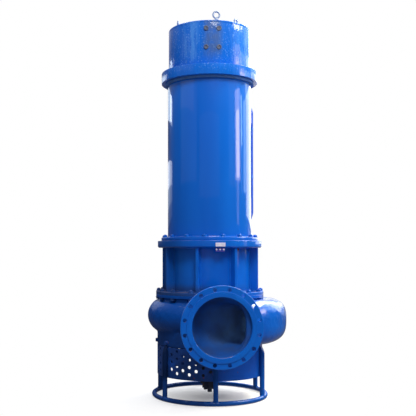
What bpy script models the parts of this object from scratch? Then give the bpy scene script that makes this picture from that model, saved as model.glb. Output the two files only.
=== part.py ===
"""Submersible sand pump, a tall electric pump that stands on a ring of pipe.

From the floor up: base ring and six legs, strainer skirt, suction cover with the agitator under it, cast
volute with its side discharge, ribbed oil chamber, motor housing, collar and top cap with lifting eyes.
The shaft, impeller and agitator turn together on the pump axis.
Units are metres and +Z is up. The pump axis stands at AXIS_X, AXIS_Y, so that the origin lies under the
middle of the whole pump's outline. An azimuth is in degrees: 0 faces the discharge (-Y), 90 faces +X.
"""
import math

import bmesh
import bpy
from mathutils import Matrix, Vector

NAME = "submersible_sand_pump"

# Place of the pump axis
AXIS_X = -0.05095
AXIS_Y = 0.07172

# Running and seating gaps
GAP = 0.0003
SHAFT_CLEARANCE = 0.0007
RUNNING_CLEARANCE = 0.006

# How far a cutter runs past an outer face, and into the hollow that it meets
CUT_PAST = 0.05
CUT_OVERLAP = 0.01

# Facets of turned pieces
WIDE_STEPS = 48
MIDDLE_STEPS = 24
SMALL_STEPS = 12

# Base ring and legs
RING_RADIUS = 0.4175
RING_PIPE_RADIUS = 0.017
RING_SIDES = 10
LEG_RADIUS = 0.018
LEG_SIDES = 12
LEG_AZIMUTHS = (-2.5, 60.0, 112.0, 180.0, 240.0, 300.0)
LEG_TOP = 0.412
FRONT_LEG_TOP = 0.372
LEG_SLANT = 2.0

# Strainer skirt
SKIRT_RADIUS = 0.394
SKIRT_WALL = 0.006
SKIRT_BOTTOM = 0.169
SKIRT_TOP = 0.3885
HOLE_RADIUS = 0.0118
HOLE_SIDES = 6
HOLE_PITCH_Z = 0.052
HOLE_FIRST_Z = 0.210
HOLE_ROWS = 4
HOLE_COLUMN_STEP = 7.5
HOLE_FIRST_AZIMUTH = 90.0
HOLE_LAST_AZIMUTH = 352.5

# Volute casing
CASING_TOP = 0.743
DRUM_RADIUS = 0.385
DRUM_BOTTOM = 0.470
CASING_FLOOR = 0.490
CHAMBER_RADIUS = 0.280
THROAT_RADIUS = 0.330
THROAT_BOTTOM = 0.505
THROAT_TOP = 0.665
INLET_RADIUS = 0.200
SKIRT_RING_WALL = 0.018
SKIRT_RING_TOP = 0.500
SCROLL_TOP = 0.738
SCROLL_START_AZIMUTH = -25.0
SCROLL_SWEEP = 290.0
SCROLL_STATIONS = 21
SCROLL_CENTRE_START = 0.304
SCROLL_CENTRE_END = 0.433
SCROLL_RADIUS_START = 0.126
SCROLL_RADIUS_END = 0.160
SCROLL_SQUARENESS = 0.9
SCROLL_WALL = 0.022
NECK_STATIONS = 10
NECK_FLARE_START = 0.5
NECK_REACH = 0.42
SECTION_POINTS = 20

# Discharge flange: a 400 mm bore with sixteen bolts
DISCHARGE_X = -0.011
DISCHARGE_Z = 0.573
DISCHARGE_FACE = 0.660
BORE_RADIUS = 0.2042
NECK_RADIUS = 0.2245
FLANGE_RADIUS = 0.2825
FLANGE_THICKNESS = 0.034
RAISED_FACE_RADIUS = 0.241
RAISED_FACE_HEIGHT = 0.003
BOLT_CIRCLE_RADIUS = 0.2575
BOLT_HOLE_RADIUS = 0.014
BOLT_HOLES = 16
BOLT_HOLE_SIDES = 8

# Suction cover
COVER_RADIUS = 0.240
COVER_BOTTOM = 0.440
SUCTION_RADIUS = 0.140
SUCTION_LIP_RADIUS = 0.165
SUCTION_LIP_BOTTOM = 0.405

# Oil chamber and its flanges
CASING_FLANGE_RADIUS = 0.404
CASING_COVER_TOP = 0.766
FRAME_FOOT_TOP = 0.788
FRAME_FOOT_BORE = 0.200
CORE_RADIUS = 0.310
CORE_WALL = 0.025
RIB_RADIUS = 0.371
RIB_THICKNESS = 0.022
RIB_COUNT = 8
RIB_FIRST_AZIMUTH = 22.5
FRAME_HEAD_BOTTOM = 1.111
FRAME_HEAD_TOP = 1.162
FRAME_HEAD_RADIUS = 0.391
FRAME_HEAD_CHAMFER = 0.014

# Motor
MOTOR_FLANGE_TOP = 1.188
MOTOR_FLANGE_RADIUS = 0.364
HOUSING_RADIUS = 0.315
HOUSING_WALL = 0.020
HOUSING_TOP = 2.335
HEAD_RING_TOP = 2.352
HEAD_RING_RADIUS = 0.335
COLLAR_TOP = 2.430
COLLAR_RADIUS = 0.362
COLLAR_CHAMFER = 0.006
CAP_RADIUS = 0.308
CAP_WALL = 0.014
CAP_TOP = 2.755
CAP_PLATE_THICKNESS = 0.016
CAP_CHAMFER = 0.008

# Side conduit
CONDUIT_AZIMUTH = 103.0
CONDUIT_RADIUS = 0.020
CONDUIT_BOTTOM = 1.312
CONDUIT_TOP = 2.227
CONDUIT_TAPER = 0.070
CONDUIT_END_SHARE = 0.45

# Small pieces on the outside
EYE_PLACES = ((2.0, 0.285, 0.0), (56.0, 0.221, 90.0), (178.0, 0.250, 0.0), (277.0, 0.244, 90.0))
EYE_RADIUS = 0.0235
EYE_WIRE_RADIUS = 0.0065
EYE_FOOT_RADIUS = 0.016
EYE_HEIGHT = 0.072
PLUG_MIDDLE_AZIMUTH = -3.9
PLUG_HALF_ANGLE = 8.65
PLUG_HEIGHTS = (2.559, 2.695)
PLUG_RADIUS = 0.018
PLUG_RECESS_RADIUS = 0.009
PLUG_HEIGHT = 0.006
GLAND_AZIMUTH = 200.0
GLAND_DISTANCE = 0.130
GLAND_RADIUS = 0.034
GLAND_NECK_RADIUS = 0.025
GLAND_BORE_RADIUS = 0.014
GLAND_HEIGHT = 0.060
GLAND_FOOT_HEIGHT = 0.022
GLAND_BORE_BOTTOM = 0.012
PLATE_AZIMUTH = 3.0
PLATE_Z = 1.137
PLATE_WIDTH = 0.076
PLATE_HEIGHT = 0.031
PLATE_THICKNESS = 0.003

# Rotor
SHAFT_RADIUS = 0.045
IMPELLER_SHAFT_RADIUS = 0.035
AGITATOR_SHAFT_RADIUS = 0.022
SHAFT_TOP = 1.300
SHAFT_SHOULDER = 0.700
AGITATOR_SHOULDER = 0.500
SHAFT_BOTTOM = 0.130
IMPELLER_RADIUS = 0.238
IMPELLER_HUB_RADIUS = 0.062
IMPELLER_DISC_BOTTOM = 0.678
IMPELLER_BOTTOM = 0.502
BLADE_THICKNESS = 0.018
BLADE_LENGTH = 0.165
IMPELLER_BLADES = 4
BLADE_SWEEP = 38.0
AGITATOR_HUB_RADIUS = 0.040
AGITATOR_TOP = 0.490
AGITATOR_BLADE_BOTTOM = 0.050
AGITATOR_TIP = 0.025
AGITATOR_TIP_RADIUS = 0.017
AGITATOR_NUT_TOP = 0.062
AGITATOR_BLADES = 4
AGITATOR_BLADE_STEPS = (
    (0.058, 0.000),
    (0.066, 0.030),
    (0.078, 0.030),
    (0.082, 0.075),
    (0.098, 0.075),
    (0.104, 0.130),
    (0.118, 0.130),
    (0.122, 0.200),
    (0.070, 0.270),
)
AGITATOR_BLADE_HEIGHT = 0.290

# Paint and metal: colour, roughness, metallic
FINISHES = {
    "blue_enamel": ((0.010, 0.075, 0.400, 1.0), 0.25, 0.0),
    "cast_blue_enamel": ((0.010, 0.070, 0.370, 1.0), 0.30, 0.0),
    "bare_steel": ((0.420, 0.410, 0.390, 1.0), 0.40, 1.0),
    "label_white": ((0.800, 0.800, 0.820, 1.0), 0.50, 0.0),
    "dark_iron": ((0.020, 0.040, 0.120, 1.0), 0.60, 0.0),
}


def clear_scene():
    """Remove every object that the open file holds."""
    for item in list(bpy.data.objects):
        bpy.data.objects.remove(item, do_unlink=True)


def make_collection(name):
    """Return a new collection linked to the scene."""
    group = bpy.data.collections.new(name)
    bpy.context.scene.collection.children.link(group)
    return group


def make_materials():
    """Return one Principled material for each finish."""
    made = {}
    for name, (colour, roughness, metallic) in FINISHES.items():
        material = bpy.data.materials.new(name)
        material.use_nodes = True
        shader = material.node_tree.nodes["Principled BSDF"]
        shader.inputs["Base Color"].default_value = colour
        shader.inputs["Roughness"].default_value = roughness
        shader.inputs["Metallic"].default_value = metallic
        made[name] = material
    return made


def make_empty(name, parent=None):
    """Return an empty that carries other objects."""
    empty = bpy.data.objects.new(name, None)
    empty.parent = parent
    PARTS.objects.link(empty)
    return empty


def place(name, mesh, finish, parent):
    """Put a mesh into the part as a named object with its own finish."""
    item = bpy.data.objects.new(name, mesh)
    mesh.materials.append(MATERIALS[finish])
    item.parent = parent
    PARTS.objects.link(item)
    mesh.shade_smooth()
    mesh.set_sharp_from_angle(angle=math.radians(30))
    return item


def make_guide(name, mesh):
    """Put a mesh into the cutters' collection, hidden from the render."""
    item = bpy.data.objects.new(name, mesh)
    item.hide_render = True
    item.display_type = "WIRE"
    item.parent = PUMP
    CUTTERS.objects.link(item)
    return item


def add_screw(item, steps):
    """Turn an object's profile round its Z axis."""
    screw = item.modifiers.new("turned", "SCREW")
    screw.axis = "Z"
    screw.steps = steps
    screw.render_steps = steps
    screw.use_merge_vertices = True
    screw.merge_threshold = 0.00001
    screw.use_normal_calculate = False
    return screw


def add_boolean(item, guide, operation):
    """Join an object with a guide, or cut it with one."""
    boolean = item.modifiers.new(operation.lower() + "_" + guide.name, "BOOLEAN")
    boolean.operation = operation
    boolean.solver = "EXACT"
    boolean.object = guide
    return boolean


def profile_mesh(name, points):
    """Return edges round a loop of (radius, height) points; an edge along the axis is left out."""
    mesh = bpy.data.meshes.new(name)
    count = len(points)
    pairs = [(index, (index + 1) % count) for index in range(count)]
    edges = [(first, last) for first, last in pairs if points[first][0] + points[last][0] > 0.0]
    mesh.from_pydata([(radius, 0.0, height) for radius, height in points], edges, [])
    return mesh


def turned(name, points, finish, steps=WIDE_STEPS, parent=None):
    """Add a turned piece. Its profile runs down the outer side."""
    item = place(name, profile_mesh(name, points), finish, parent or PUMP)
    add_screw(item, steps)
    return item


def turned_guide(name, points, steps=WIDE_STEPS):
    """Add a turned cutter or filler."""
    guide = make_guide(name, profile_mesh(name, points))
    add_screw(guide, steps)
    return guide


def ring_profile(outer, inner, bottom, top, chamfer_top=0.0, chamfer_bottom=0.0):
    """Return the section of a flat ring, with its outer edges chamfered where asked."""
    points = [(outer, top - chamfer_top), (outer, bottom + chamfer_bottom)]
    if chamfer_bottom > 0.0:
        points.append((outer - chamfer_bottom, bottom))
    points.extend([(inner, bottom), (inner, top)])
    if chamfer_top > 0.0:
        points.append((outer - chamfer_top, top))
    return points


def disc_profile(radius, bottom, top):
    """Return the half section of a solid disc, listed top to bottom."""
    return [(0.0, top), (radius, top), (radius, bottom), (0.0, bottom)]


def around(azimuth, radius, height):
    """Return the point at an azimuth, a distance from the pump axis and a height."""
    angle = math.radians(azimuth)
    return Vector((radius * math.sin(angle), -radius * math.cos(angle), height))


def facing(azimuth, radius, height):
    """Return a matrix whose Z axis points outwards at an azimuth and whose Y axis points up."""
    outward = around(azimuth, 1.0, 0.0)
    up = Vector((0.0, 0.0, 1.0))
    side = up.cross(outward)
    turn = Matrix((side, up, outward)).transposed().to_4x4()
    return Matrix.Translation(around(azimuth, radius, height)) @ turn


def new_bmesh_mesh(name, work):
    """Write a bmesh to a new mesh and free it."""
    mesh = bpy.data.meshes.new(name)
    bmesh.ops.recalc_face_normals(work, faces=work.faces[:])
    work.to_mesh(mesh)
    work.free()
    return mesh


def build_base_ring():
    """The pipe ring that stands on the floor."""
    bpy.ops.mesh.primitive_torus_add(
        major_radius=RING_RADIUS,
        minor_radius=RING_PIPE_RADIUS,
        major_segments=WIDE_STEPS,
        minor_segments=RING_SIDES,
    )
    made = bpy.context.active_object
    mesh = made.data
    bpy.data.objects.remove(made)
    mesh.transform(Matrix.Translation((0.0, 0.0, ring_centre_height())))
    mesh.name = "base_ring"
    place("base_ring", mesh, "blue_enamel", PUMP)


def ring_centre_height():
    """Height of the ring pipe's middle, with a flat facet on the floor."""
    return RING_PIPE_RADIUS * math.cos(math.pi / RING_SIDES)


def leg_distance():
    """Distance of a leg's middle from the axis, so that it touches the skirt."""
    return SKIRT_RADIUS + GAP + LEG_RADIUS


def build_leg(number, azimuth, top):
    """A pipe leg from the base ring up the skirt, cut slanting so that its top closes on the skirt."""
    bottom = 2.0 * ring_centre_height() + GAP
    work = bmesh.new()
    bmesh.ops.create_cone(
        work, cap_ends=True, segments=LEG_SIDES, radius1=LEG_RADIUS, radius2=LEG_RADIUS, depth=1.0
    )
    for vert in work.verts:
        at_top = vert.co.z > 0.0
        inward = LEG_RADIUS - vert.co.y
        vert.co.z = top - LEG_SLANT * (2.0 * LEG_RADIUS - inward) if at_top else bottom
    turn = Matrix.Rotation(math.radians(azimuth + 180.0), 4, "Z")
    spot = Matrix.Translation(around(azimuth, leg_distance(), 0.0))
    bmesh.ops.transform(work, matrix=spot @ turn, verts=work.verts[:])
    place("leg_%d" % number, new_bmesh_mesh("leg_%d" % number, work), "blue_enamel", PUMP)


def strainer_holes():
    """Return (azimuth, height) of each strainer hole; every second column is raised by half a pitch."""
    places = []
    columns = int(round((HOLE_LAST_AZIMUTH - HOLE_FIRST_AZIMUTH) / HOLE_COLUMN_STEP)) + 1
    for column in range(columns):
        azimuth = HOLE_FIRST_AZIMUTH + column * HOLE_COLUMN_STEP
        raised = column % 2
        rows = HOLE_ROWS - raised
        for row in range(rows):
            places.append((azimuth, HOLE_FIRST_Z + (row + 0.5 * raised) * HOLE_PITCH_Z))
    return places


def build_strainer():
    """The perforated skirt round the suction."""
    skirt = turned(
        "strainer_skirt",
        ring_profile(SKIRT_RADIUS, SKIRT_RADIUS - SKIRT_WALL, SKIRT_BOTTOM, SKIRT_TOP),
        "dark_iron",
    )
    work = bmesh.new()
    for azimuth, height in strainer_holes():
        bmesh.ops.create_cone(
            work,
            cap_ends=True,
            segments=HOLE_SIDES,
            radius1=HOLE_RADIUS,
            radius2=HOLE_RADIUS,
            depth=6.0 * SKIRT_WALL,
            matrix=facing(azimuth, SKIRT_RADIUS - 0.5 * SKIRT_WALL, height),
        )
    add_boolean(skirt, make_guide("strainer_holes", new_bmesh_mesh("strainer_holes", work)), "DIFFERENCE")


def build_suction_cover():
    """The wear cover under the casing, with its inlet lip."""
    top = DRUM_BOTTOM - GAP
    turned(
        "suction_cover",
        [
            (COVER_RADIUS, top),
            (COVER_RADIUS, COVER_BOTTOM),
            (SUCTION_LIP_RADIUS, COVER_BOTTOM),
            (SUCTION_LIP_RADIUS, SUCTION_LIP_BOTTOM),
            (SUCTION_RADIUS, SUCTION_LIP_BOTTOM),
            (SUCTION_RADIUS, top),
        ],
        "cast_blue_enamel",
    )


def scroll_station(fraction):
    """Return centre, direction, radius and squareness of the scroll at a fraction of its sweep."""
    azimuth = SCROLL_START_AZIMUTH - SCROLL_SWEEP * fraction
    radius = SCROLL_RADIUS_START + (SCROLL_RADIUS_END - SCROLL_RADIUS_START) * fraction
    distance = SCROLL_CENTRE_START + (SCROLL_CENTRE_END - SCROLL_CENTRE_START) * fraction
    angle = math.radians(azimuth)
    direction = Vector((-math.cos(angle), -math.sin(angle), 0.0))
    square = 2.0 + SCROLL_SQUARENESS * max(0.0, fraction * 1.5 - 0.4)
    return around(azimuth, distance, SCROLL_TOP - radius), direction, radius, square


def neck_station(fraction, end_y):
    """Return centre, direction, radius and squareness of the neck from the scroll to the flange."""
    start, start_direction, start_radius, start_square = scroll_station(1.0)
    end = Vector((DISCHARGE_X, end_y, DISCHARGE_Z))
    reach = (end - start).length * NECK_REACH
    points = (start, start + start_direction * reach, end + Vector((0.0, reach, 0.0)), end)
    rest = 1.0 - fraction
    weights = (rest ** 3, 3.0 * rest ** 2 * fraction, 3.0 * rest * fraction ** 2, fraction ** 3)
    centre = sum((point * weight for point, weight in zip(points, weights)), Vector())
    turn = 2.0 * rest * fraction
    slopes = (-rest ** 2, rest ** 2 - turn, turn - fraction ** 2, fraction ** 2)
    direction = sum((point * slope for point, slope in zip(points, slopes)), Vector())
    direction.z = 0.0
    flare = max(0.0, fraction - NECK_FLARE_START) / (1.0 - NECK_FLARE_START)
    ease = flare * flare * (3.0 - 2.0 * flare)
    radius = start_radius + (NECK_RADIUS - start_radius) * ease
    return centre, direction.normalized(), radius, start_square + (2.0 - start_square) * ease


def section_ring(centre, direction, radius, square):
    """Return the points of one rounded section, a superellipse that stands across the passage."""
    side = direction.cross(Vector((0.0, 0.0, 1.0)))
    ring = []
    for index in range(SECTION_POINTS):
        angle = 2.0 * math.pi * (index + 0.5) / SECTION_POINTS
        across = math.copysign(abs(math.cos(angle)) ** (2.0 / square), math.cos(angle))
        height = math.copysign(abs(math.sin(angle)) ** (2.0 / square), math.sin(angle))
        ring.append(centre + side * (radius * across) + Vector((0.0, 0.0, radius * height)))
    return ring


def scroll_guide(name, first_fraction, thinner, end_y):
    """Loft the growing passage of the volute, made thinner all round by a wall where asked."""
    rings = []
    for index in range(SCROLL_STATIONS):
        fraction = first_fraction + (1.0 - first_fraction) * index / (SCROLL_STATIONS - 1)
        centre, direction, radius, square = scroll_station(fraction)
        rings.append(section_ring(centre, direction, radius - thinner, square))
    for index in range(1, NECK_STATIONS + 1):
        centre, direction, radius, square = neck_station(index / NECK_STATIONS, end_y)
        rings.append(section_ring(centre, direction, radius - thinner, square))
    work = bmesh.new()
    made = [[work.verts.new(point) for point in ring] for ring in rings]
    for lower, upper in zip(made[:-1], made[1:]):
        for index in range(SECTION_POINTS):
            following = (index + 1) % SECTION_POINTS
            work.faces.new((lower[index], lower[following], upper[following], upper[index]))
    work.faces.new(made[0])
    work.faces.new(made[-1])
    return new_bmesh_mesh(name, work)


def build_volute():
    """The cast scroll casing, hollow from the impeller chamber to the discharge."""
    flange_back = -DISCHARGE_FACE + FLANGE_THICKNESS + GAP
    casing = place(
        "volute_casing", scroll_guide("volute_casing", 0.0, 0.0, flange_back), "cast_blue_enamel", PUMP
    )
    drum = turned_guide("casing_drum", disc_profile(DRUM_RADIUS, DRUM_BOTTOM, CASING_TOP))
    collar = turned_guide(
        "skirt_seat",
        ring_profile(SKIRT_RADIUS, SKIRT_RADIUS - SKIRT_RING_WALL, SKIRT_TOP + GAP, SKIRT_RING_TOP),
    )
    passage = make_guide(
        "scroll_passage",
        scroll_guide("scroll_passage", 0.03, SCROLL_WALL, flange_back - FLANGE_THICKNESS),
    )
    chamber = turned_guide(
        "impeller_chamber", disc_profile(CHAMBER_RADIUS, CASING_FLOOR, CASING_TOP + CUT_PAST)
    )
    throat = turned_guide(
        "impeller_throat", disc_profile(THROAT_RADIUS, THROAT_BOTTOM, THROAT_TOP)
    )
    inlet = turned_guide(
        "casing_inlet", disc_profile(INLET_RADIUS, DRUM_BOTTOM - CUT_PAST, CASING_FLOOR + CUT_OVERLAP)
    )
    add_boolean(casing, drum, "UNION")
    add_boolean(casing, collar, "UNION")
    for cutter in (passage, chamber, throat, inlet):
        add_boolean(casing, cutter, "DIFFERENCE")


def build_discharge_flange():
    """The drilled discharge flange with its raised face."""
    profile = [
        (BORE_RADIUS, FLANGE_THICKNESS),
        (RAISED_FACE_RADIUS, FLANGE_THICKNESS),
        (RAISED_FACE_RADIUS, FLANGE_THICKNESS - RAISED_FACE_HEIGHT),
        (FLANGE_RADIUS, FLANGE_THICKNESS - RAISED_FACE_HEIGHT),
        (FLANGE_RADIUS, 0.0),
        (BORE_RADIUS, 0.0),
    ]
    stand = Matrix.Translation((DISCHARGE_X, -DISCHARGE_FACE + FLANGE_THICKNESS, DISCHARGE_Z))
    stand = stand @ Matrix.Rotation(math.radians(90.0), 4, "X")
    flange = turned("discharge_flange", profile, "cast_blue_enamel")
    flange.matrix_local = stand
    work = bmesh.new()
    for index in range(BOLT_HOLES):
        angle = 2.0 * math.pi * (index + 0.5) / BOLT_HOLES
        centre = (BOLT_CIRCLE_RADIUS * math.cos(angle), BOLT_CIRCLE_RADIUS * math.sin(angle), 0.0)
        bmesh.ops.create_cone(
            work,
            cap_ends=True,
            segments=BOLT_HOLE_SIDES,
            radius1=BOLT_HOLE_RADIUS,
            radius2=BOLT_HOLE_RADIUS,
            depth=4.0 * FLANGE_THICKNESS,
            matrix=Matrix.Translation(centre),
        )
    holes = make_guide("flange_bolt_holes", new_bmesh_mesh("flange_bolt_holes", work))
    holes.matrix_local = stand
    add_boolean(flange, holes, "DIFFERENCE")


def build_oil_chamber():
    """Casing cover, ribbed oil chamber and its two flanges."""
    shaft_bore = SHAFT_RADIUS + RUNNING_CLEARANCE
    turned(
        "casing_cover",
        ring_profile(CASING_FLANGE_RADIUS, shaft_bore, CASING_TOP + GAP, CASING_COVER_TOP),
        "cast_blue_enamel",
    )
    turned(
        "frame_foot_flange",
        ring_profile(CASING_FLANGE_RADIUS, FRAME_FOOT_BORE, CASING_COVER_TOP + GAP, FRAME_FOOT_TOP),
        "cast_blue_enamel",
    )
    turned(
        "oil_chamber",
        ring_profile(CORE_RADIUS, CORE_RADIUS - CORE_WALL, FRAME_FOOT_TOP + GAP, FRAME_HEAD_BOTTOM - GAP),
        "blue_enamel",
    )
    turned(
        "frame_head_flange",
        ring_profile(
            FRAME_HEAD_RADIUS,
            CORE_RADIUS - CORE_WALL,
            FRAME_HEAD_BOTTOM,
            FRAME_HEAD_TOP,
            chamfer_bottom=FRAME_HEAD_CHAMFER,
        ),
        "cast_blue_enamel",
    )
    for number in range(1, RIB_COUNT + 1):
        build_rib(number, RIB_FIRST_AZIMUTH + (number - 1) * 360.0 / RIB_COUNT)


def build_rib(number, azimuth):
    """A radial stiffening plate between the two frame flanges."""
    inner = CORE_RADIUS + GAP
    bottom = FRAME_FOOT_TOP + GAP
    top = FRAME_HEAD_BOTTOM - GAP
    work = bmesh.new()
    bmesh.ops.create_cube(work, size=1.0)
    bmesh.ops.scale(work, vec=(RIB_THICKNESS, top - bottom, RIB_RADIUS - inner), verts=work.verts[:])
    spot = facing(azimuth, 0.5 * (inner + RIB_RADIUS), 0.5 * (bottom + top))
    bmesh.ops.transform(work, matrix=spot, verts=work.verts[:])
    place("rib_%d" % number, new_bmesh_mesh("rib_%d" % number, work), "blue_enamel", PUMP)


def build_motor():
    """Motor flange, housing, head ring, collar and top cap."""
    turned(
        "motor_flange",
        ring_profile(
            MOTOR_FLANGE_RADIUS, SHAFT_RADIUS + SHAFT_CLEARANCE, FRAME_HEAD_TOP + GAP, MOTOR_FLANGE_TOP
        ),
        "cast_blue_enamel",
    )
    turned(
        "motor_housing",
        ring_profile(HOUSING_RADIUS, HOUSING_RADIUS - HOUSING_WALL, MOTOR_FLANGE_TOP + GAP, HOUSING_TOP),
        "blue_enamel",
    )
    turned(
        "head_ring",
        ring_profile(HEAD_RING_RADIUS, HOUSING_RADIUS - HOUSING_WALL, HOUSING_TOP + GAP, HEAD_RING_TOP),
        "blue_enamel",
    )
    turned(
        "collar",
        ring_profile(
            COLLAR_RADIUS,
            CAP_RADIUS - CAP_WALL,
            HEAD_RING_TOP + GAP,
            COLLAR_TOP,
            chamfer_top=COLLAR_CHAMFER,
            chamfer_bottom=COLLAR_CHAMFER,
        ),
        "cast_blue_enamel",
    )
    plate_bottom = CAP_TOP - CAP_PLATE_THICKNESS
    turned(
        "top_cap",
        ring_profile(CAP_RADIUS, CAP_RADIUS - CAP_WALL, COLLAR_TOP + GAP, plate_bottom),
        "blue_enamel",
    )
    turned(
        "cap_plate",
        [
            (0.0, CAP_TOP),
            (CAP_RADIUS - CAP_CHAMFER, CAP_TOP),
            (CAP_RADIUS, CAP_TOP - CAP_CHAMFER),
            (CAP_RADIUS, plate_bottom + GAP),
            (0.0, plate_bottom + GAP),
        ],
        "blue_enamel",
    )


def curve_mesh(name, points, shares, radius):
    """Return a tube through points, each with its share of the radius, as a closed mesh."""
    data = bpy.data.curves.new(name, "CURVE")
    data.dimensions = "3D"
    data.bevel_depth = radius
    data.bevel_resolution = 2
    data.use_fill_caps = True
    spline = data.splines.new("POLY")
    spline.points.add(len(points) - 1)
    for point, spot, share in zip(spline.points, points, shares):
        point.co = (spot[0], spot[1], spot[2], 1.0)
        point.radius = share
    curve = bpy.data.objects.new(name, data)
    bpy.context.scene.collection.objects.link(curve)
    graph = bpy.context.evaluated_depsgraph_get()
    graph.update()
    mesh = bpy.data.meshes.new_from_object(curve.evaluated_get(graph))
    bpy.data.objects.remove(curve)
    work = bmesh.new()
    work.from_mesh(mesh)
    bmesh.ops.remove_doubles(work, verts=work.verts[:], dist=0.00001)
    bmesh.ops.recalc_face_normals(work, faces=work.faces[:])
    work.to_mesh(mesh)
    work.free()
    return mesh


def build_side_conduit():
    """The pipe up the motor's side, drawn in to the housing at both ends."""
    seat = HOUSING_RADIUS + GAP
    slim = CONDUIT_RADIUS * CONDUIT_END_SHARE
    route = [
        (slim, CONDUIT_BOTTOM),
        (CONDUIT_RADIUS, CONDUIT_BOTTOM + CONDUIT_TAPER),
        (CONDUIT_RADIUS, CONDUIT_TOP - CONDUIT_TAPER),
        (slim, CONDUIT_TOP),
    ]
    points = [around(CONDUIT_AZIMUTH, seat + radius, height) for radius, height in route]
    shares = [radius / CONDUIT_RADIUS for radius, height in route]
    mesh = curve_mesh("side_conduit", points, shares, CONDUIT_RADIUS)
    place("side_conduit", mesh, "blue_enamel", PUMP)


def build_lifting_eyes():
    """Four forged eyes on the cap, turned each its own way."""
    for number, (azimuth, distance, turn) in enumerate(EYE_PLACES, start=1):
        name = "lifting_eye_%d" % number
        bpy.ops.mesh.primitive_torus_add(
            major_radius=EYE_RADIUS,
            minor_radius=EYE_WIRE_RADIUS,
            major_segments=16,
            minor_segments=8,
            rotation=(math.radians(90.0), 0.0, 0.0),
        )
        made = bpy.context.active_object
        mesh = made.data
        mesh.transform(made.matrix_basis)
        bpy.data.objects.remove(made)
        mesh.name = name
        eye_centre = EYE_HEIGHT - EYE_RADIUS - EYE_WIRE_RADIUS
        mesh.transform(Matrix.Translation((0.0, 0.0, eye_centre)))
        spot = Matrix.Translation(around(azimuth, distance, CAP_TOP + GAP))
        spot = spot @ Matrix.Rotation(math.radians(turn), 4, "Z")
        eye = place(name, mesh, "bare_steel", PUMP)
        eye.matrix_local = spot
        foot_top = eye_centre - EYE_RADIUS + 0.5 * EYE_WIRE_RADIUS
        foot = turned_guide(
            name + "_foot",
            [(0.0, foot_top), (EYE_FOOT_RADIUS * 0.7, foot_top), (EYE_FOOT_RADIUS, 0.0), (0.0, 0.0)],
            SMALL_STEPS,
        )
        foot.matrix_local = spot
        add_boolean(eye, foot, "UNION")


def build_cap_plugs():
    """Four round plugs with a recess, in two rows on the front of the cap."""
    number = 0
    for height in PLUG_HEIGHTS:
        for side in (-1.0, 1.0):
            number += 1
            plug = turned(
                "cap_plug_%d" % number,
                [
                    (0.0, PLUG_HEIGHT * 0.4),
                    (PLUG_RECESS_RADIUS, PLUG_HEIGHT * 0.4),
                    (PLUG_RECESS_RADIUS, PLUG_HEIGHT),
                    (PLUG_RADIUS, PLUG_HEIGHT),
                    (PLUG_RADIUS, 0.0),
                    (0.0, 0.0),
                ],
                "blue_enamel",
                SMALL_STEPS,
            )
            azimuth = PLUG_MIDDLE_AZIMUTH + side * PLUG_HALF_ANGLE
            plug.matrix_local = facing(azimuth, CAP_RADIUS + GAP, height)


def build_cable_gland():
    """The cable gland on the cap, behind the eyes; its cable is left out."""
    gland = turned(
        "cable_gland",
        [
            (GLAND_BORE_RADIUS, GLAND_HEIGHT),
            (GLAND_NECK_RADIUS, GLAND_HEIGHT),
            (GLAND_NECK_RADIUS, GLAND_FOOT_HEIGHT),
            (GLAND_RADIUS, GLAND_FOOT_HEIGHT),
            (GLAND_RADIUS, 0.0),
            (0.0, 0.0),
            (0.0, GLAND_BORE_BOTTOM),
            (GLAND_BORE_RADIUS, GLAND_BORE_BOTTOM),
        ],
        "bare_steel",
        MIDDLE_STEPS,
    )
    gland.matrix_local = Matrix.Translation(around(GLAND_AZIMUTH, GLAND_DISTANCE, CAP_TOP + GAP))


def build_label_plate():
    """The plain plate on the front of the frame's head flange."""
    work = bmesh.new()
    bmesh.ops.create_cube(work, size=1.0)
    bmesh.ops.scale(work, vec=(PLATE_WIDTH, PLATE_HEIGHT, PLATE_THICKNESS), verts=work.verts[:])
    middle = FRAME_HEAD_RADIUS + GAP + 0.5 * PLATE_THICKNESS
    bmesh.ops.transform(work, matrix=facing(PLATE_AZIMUTH, middle, PLATE_Z), verts=work.verts[:])
    place("label_plate", new_bmesh_mesh("label_plate", work), "label_white", PUMP)


def build_shaft():
    """The stepped shaft from the motor down to the agitator."""
    turned(
        "shaft",
        [
            (0.0, SHAFT_TOP),
            (SHAFT_RADIUS, SHAFT_TOP),
            (SHAFT_RADIUS, SHAFT_SHOULDER),
            (IMPELLER_SHAFT_RADIUS, SHAFT_SHOULDER),
            (IMPELLER_SHAFT_RADIUS, AGITATOR_SHOULDER),
            (AGITATOR_SHAFT_RADIUS, AGITATOR_SHOULDER),
            (AGITATOR_SHAFT_RADIUS, SHAFT_BOTTOM),
            (0.0, SHAFT_BOTTOM),
        ],
        "bare_steel",
        MIDDLE_STEPS,
        ROTOR,
    )


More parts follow.
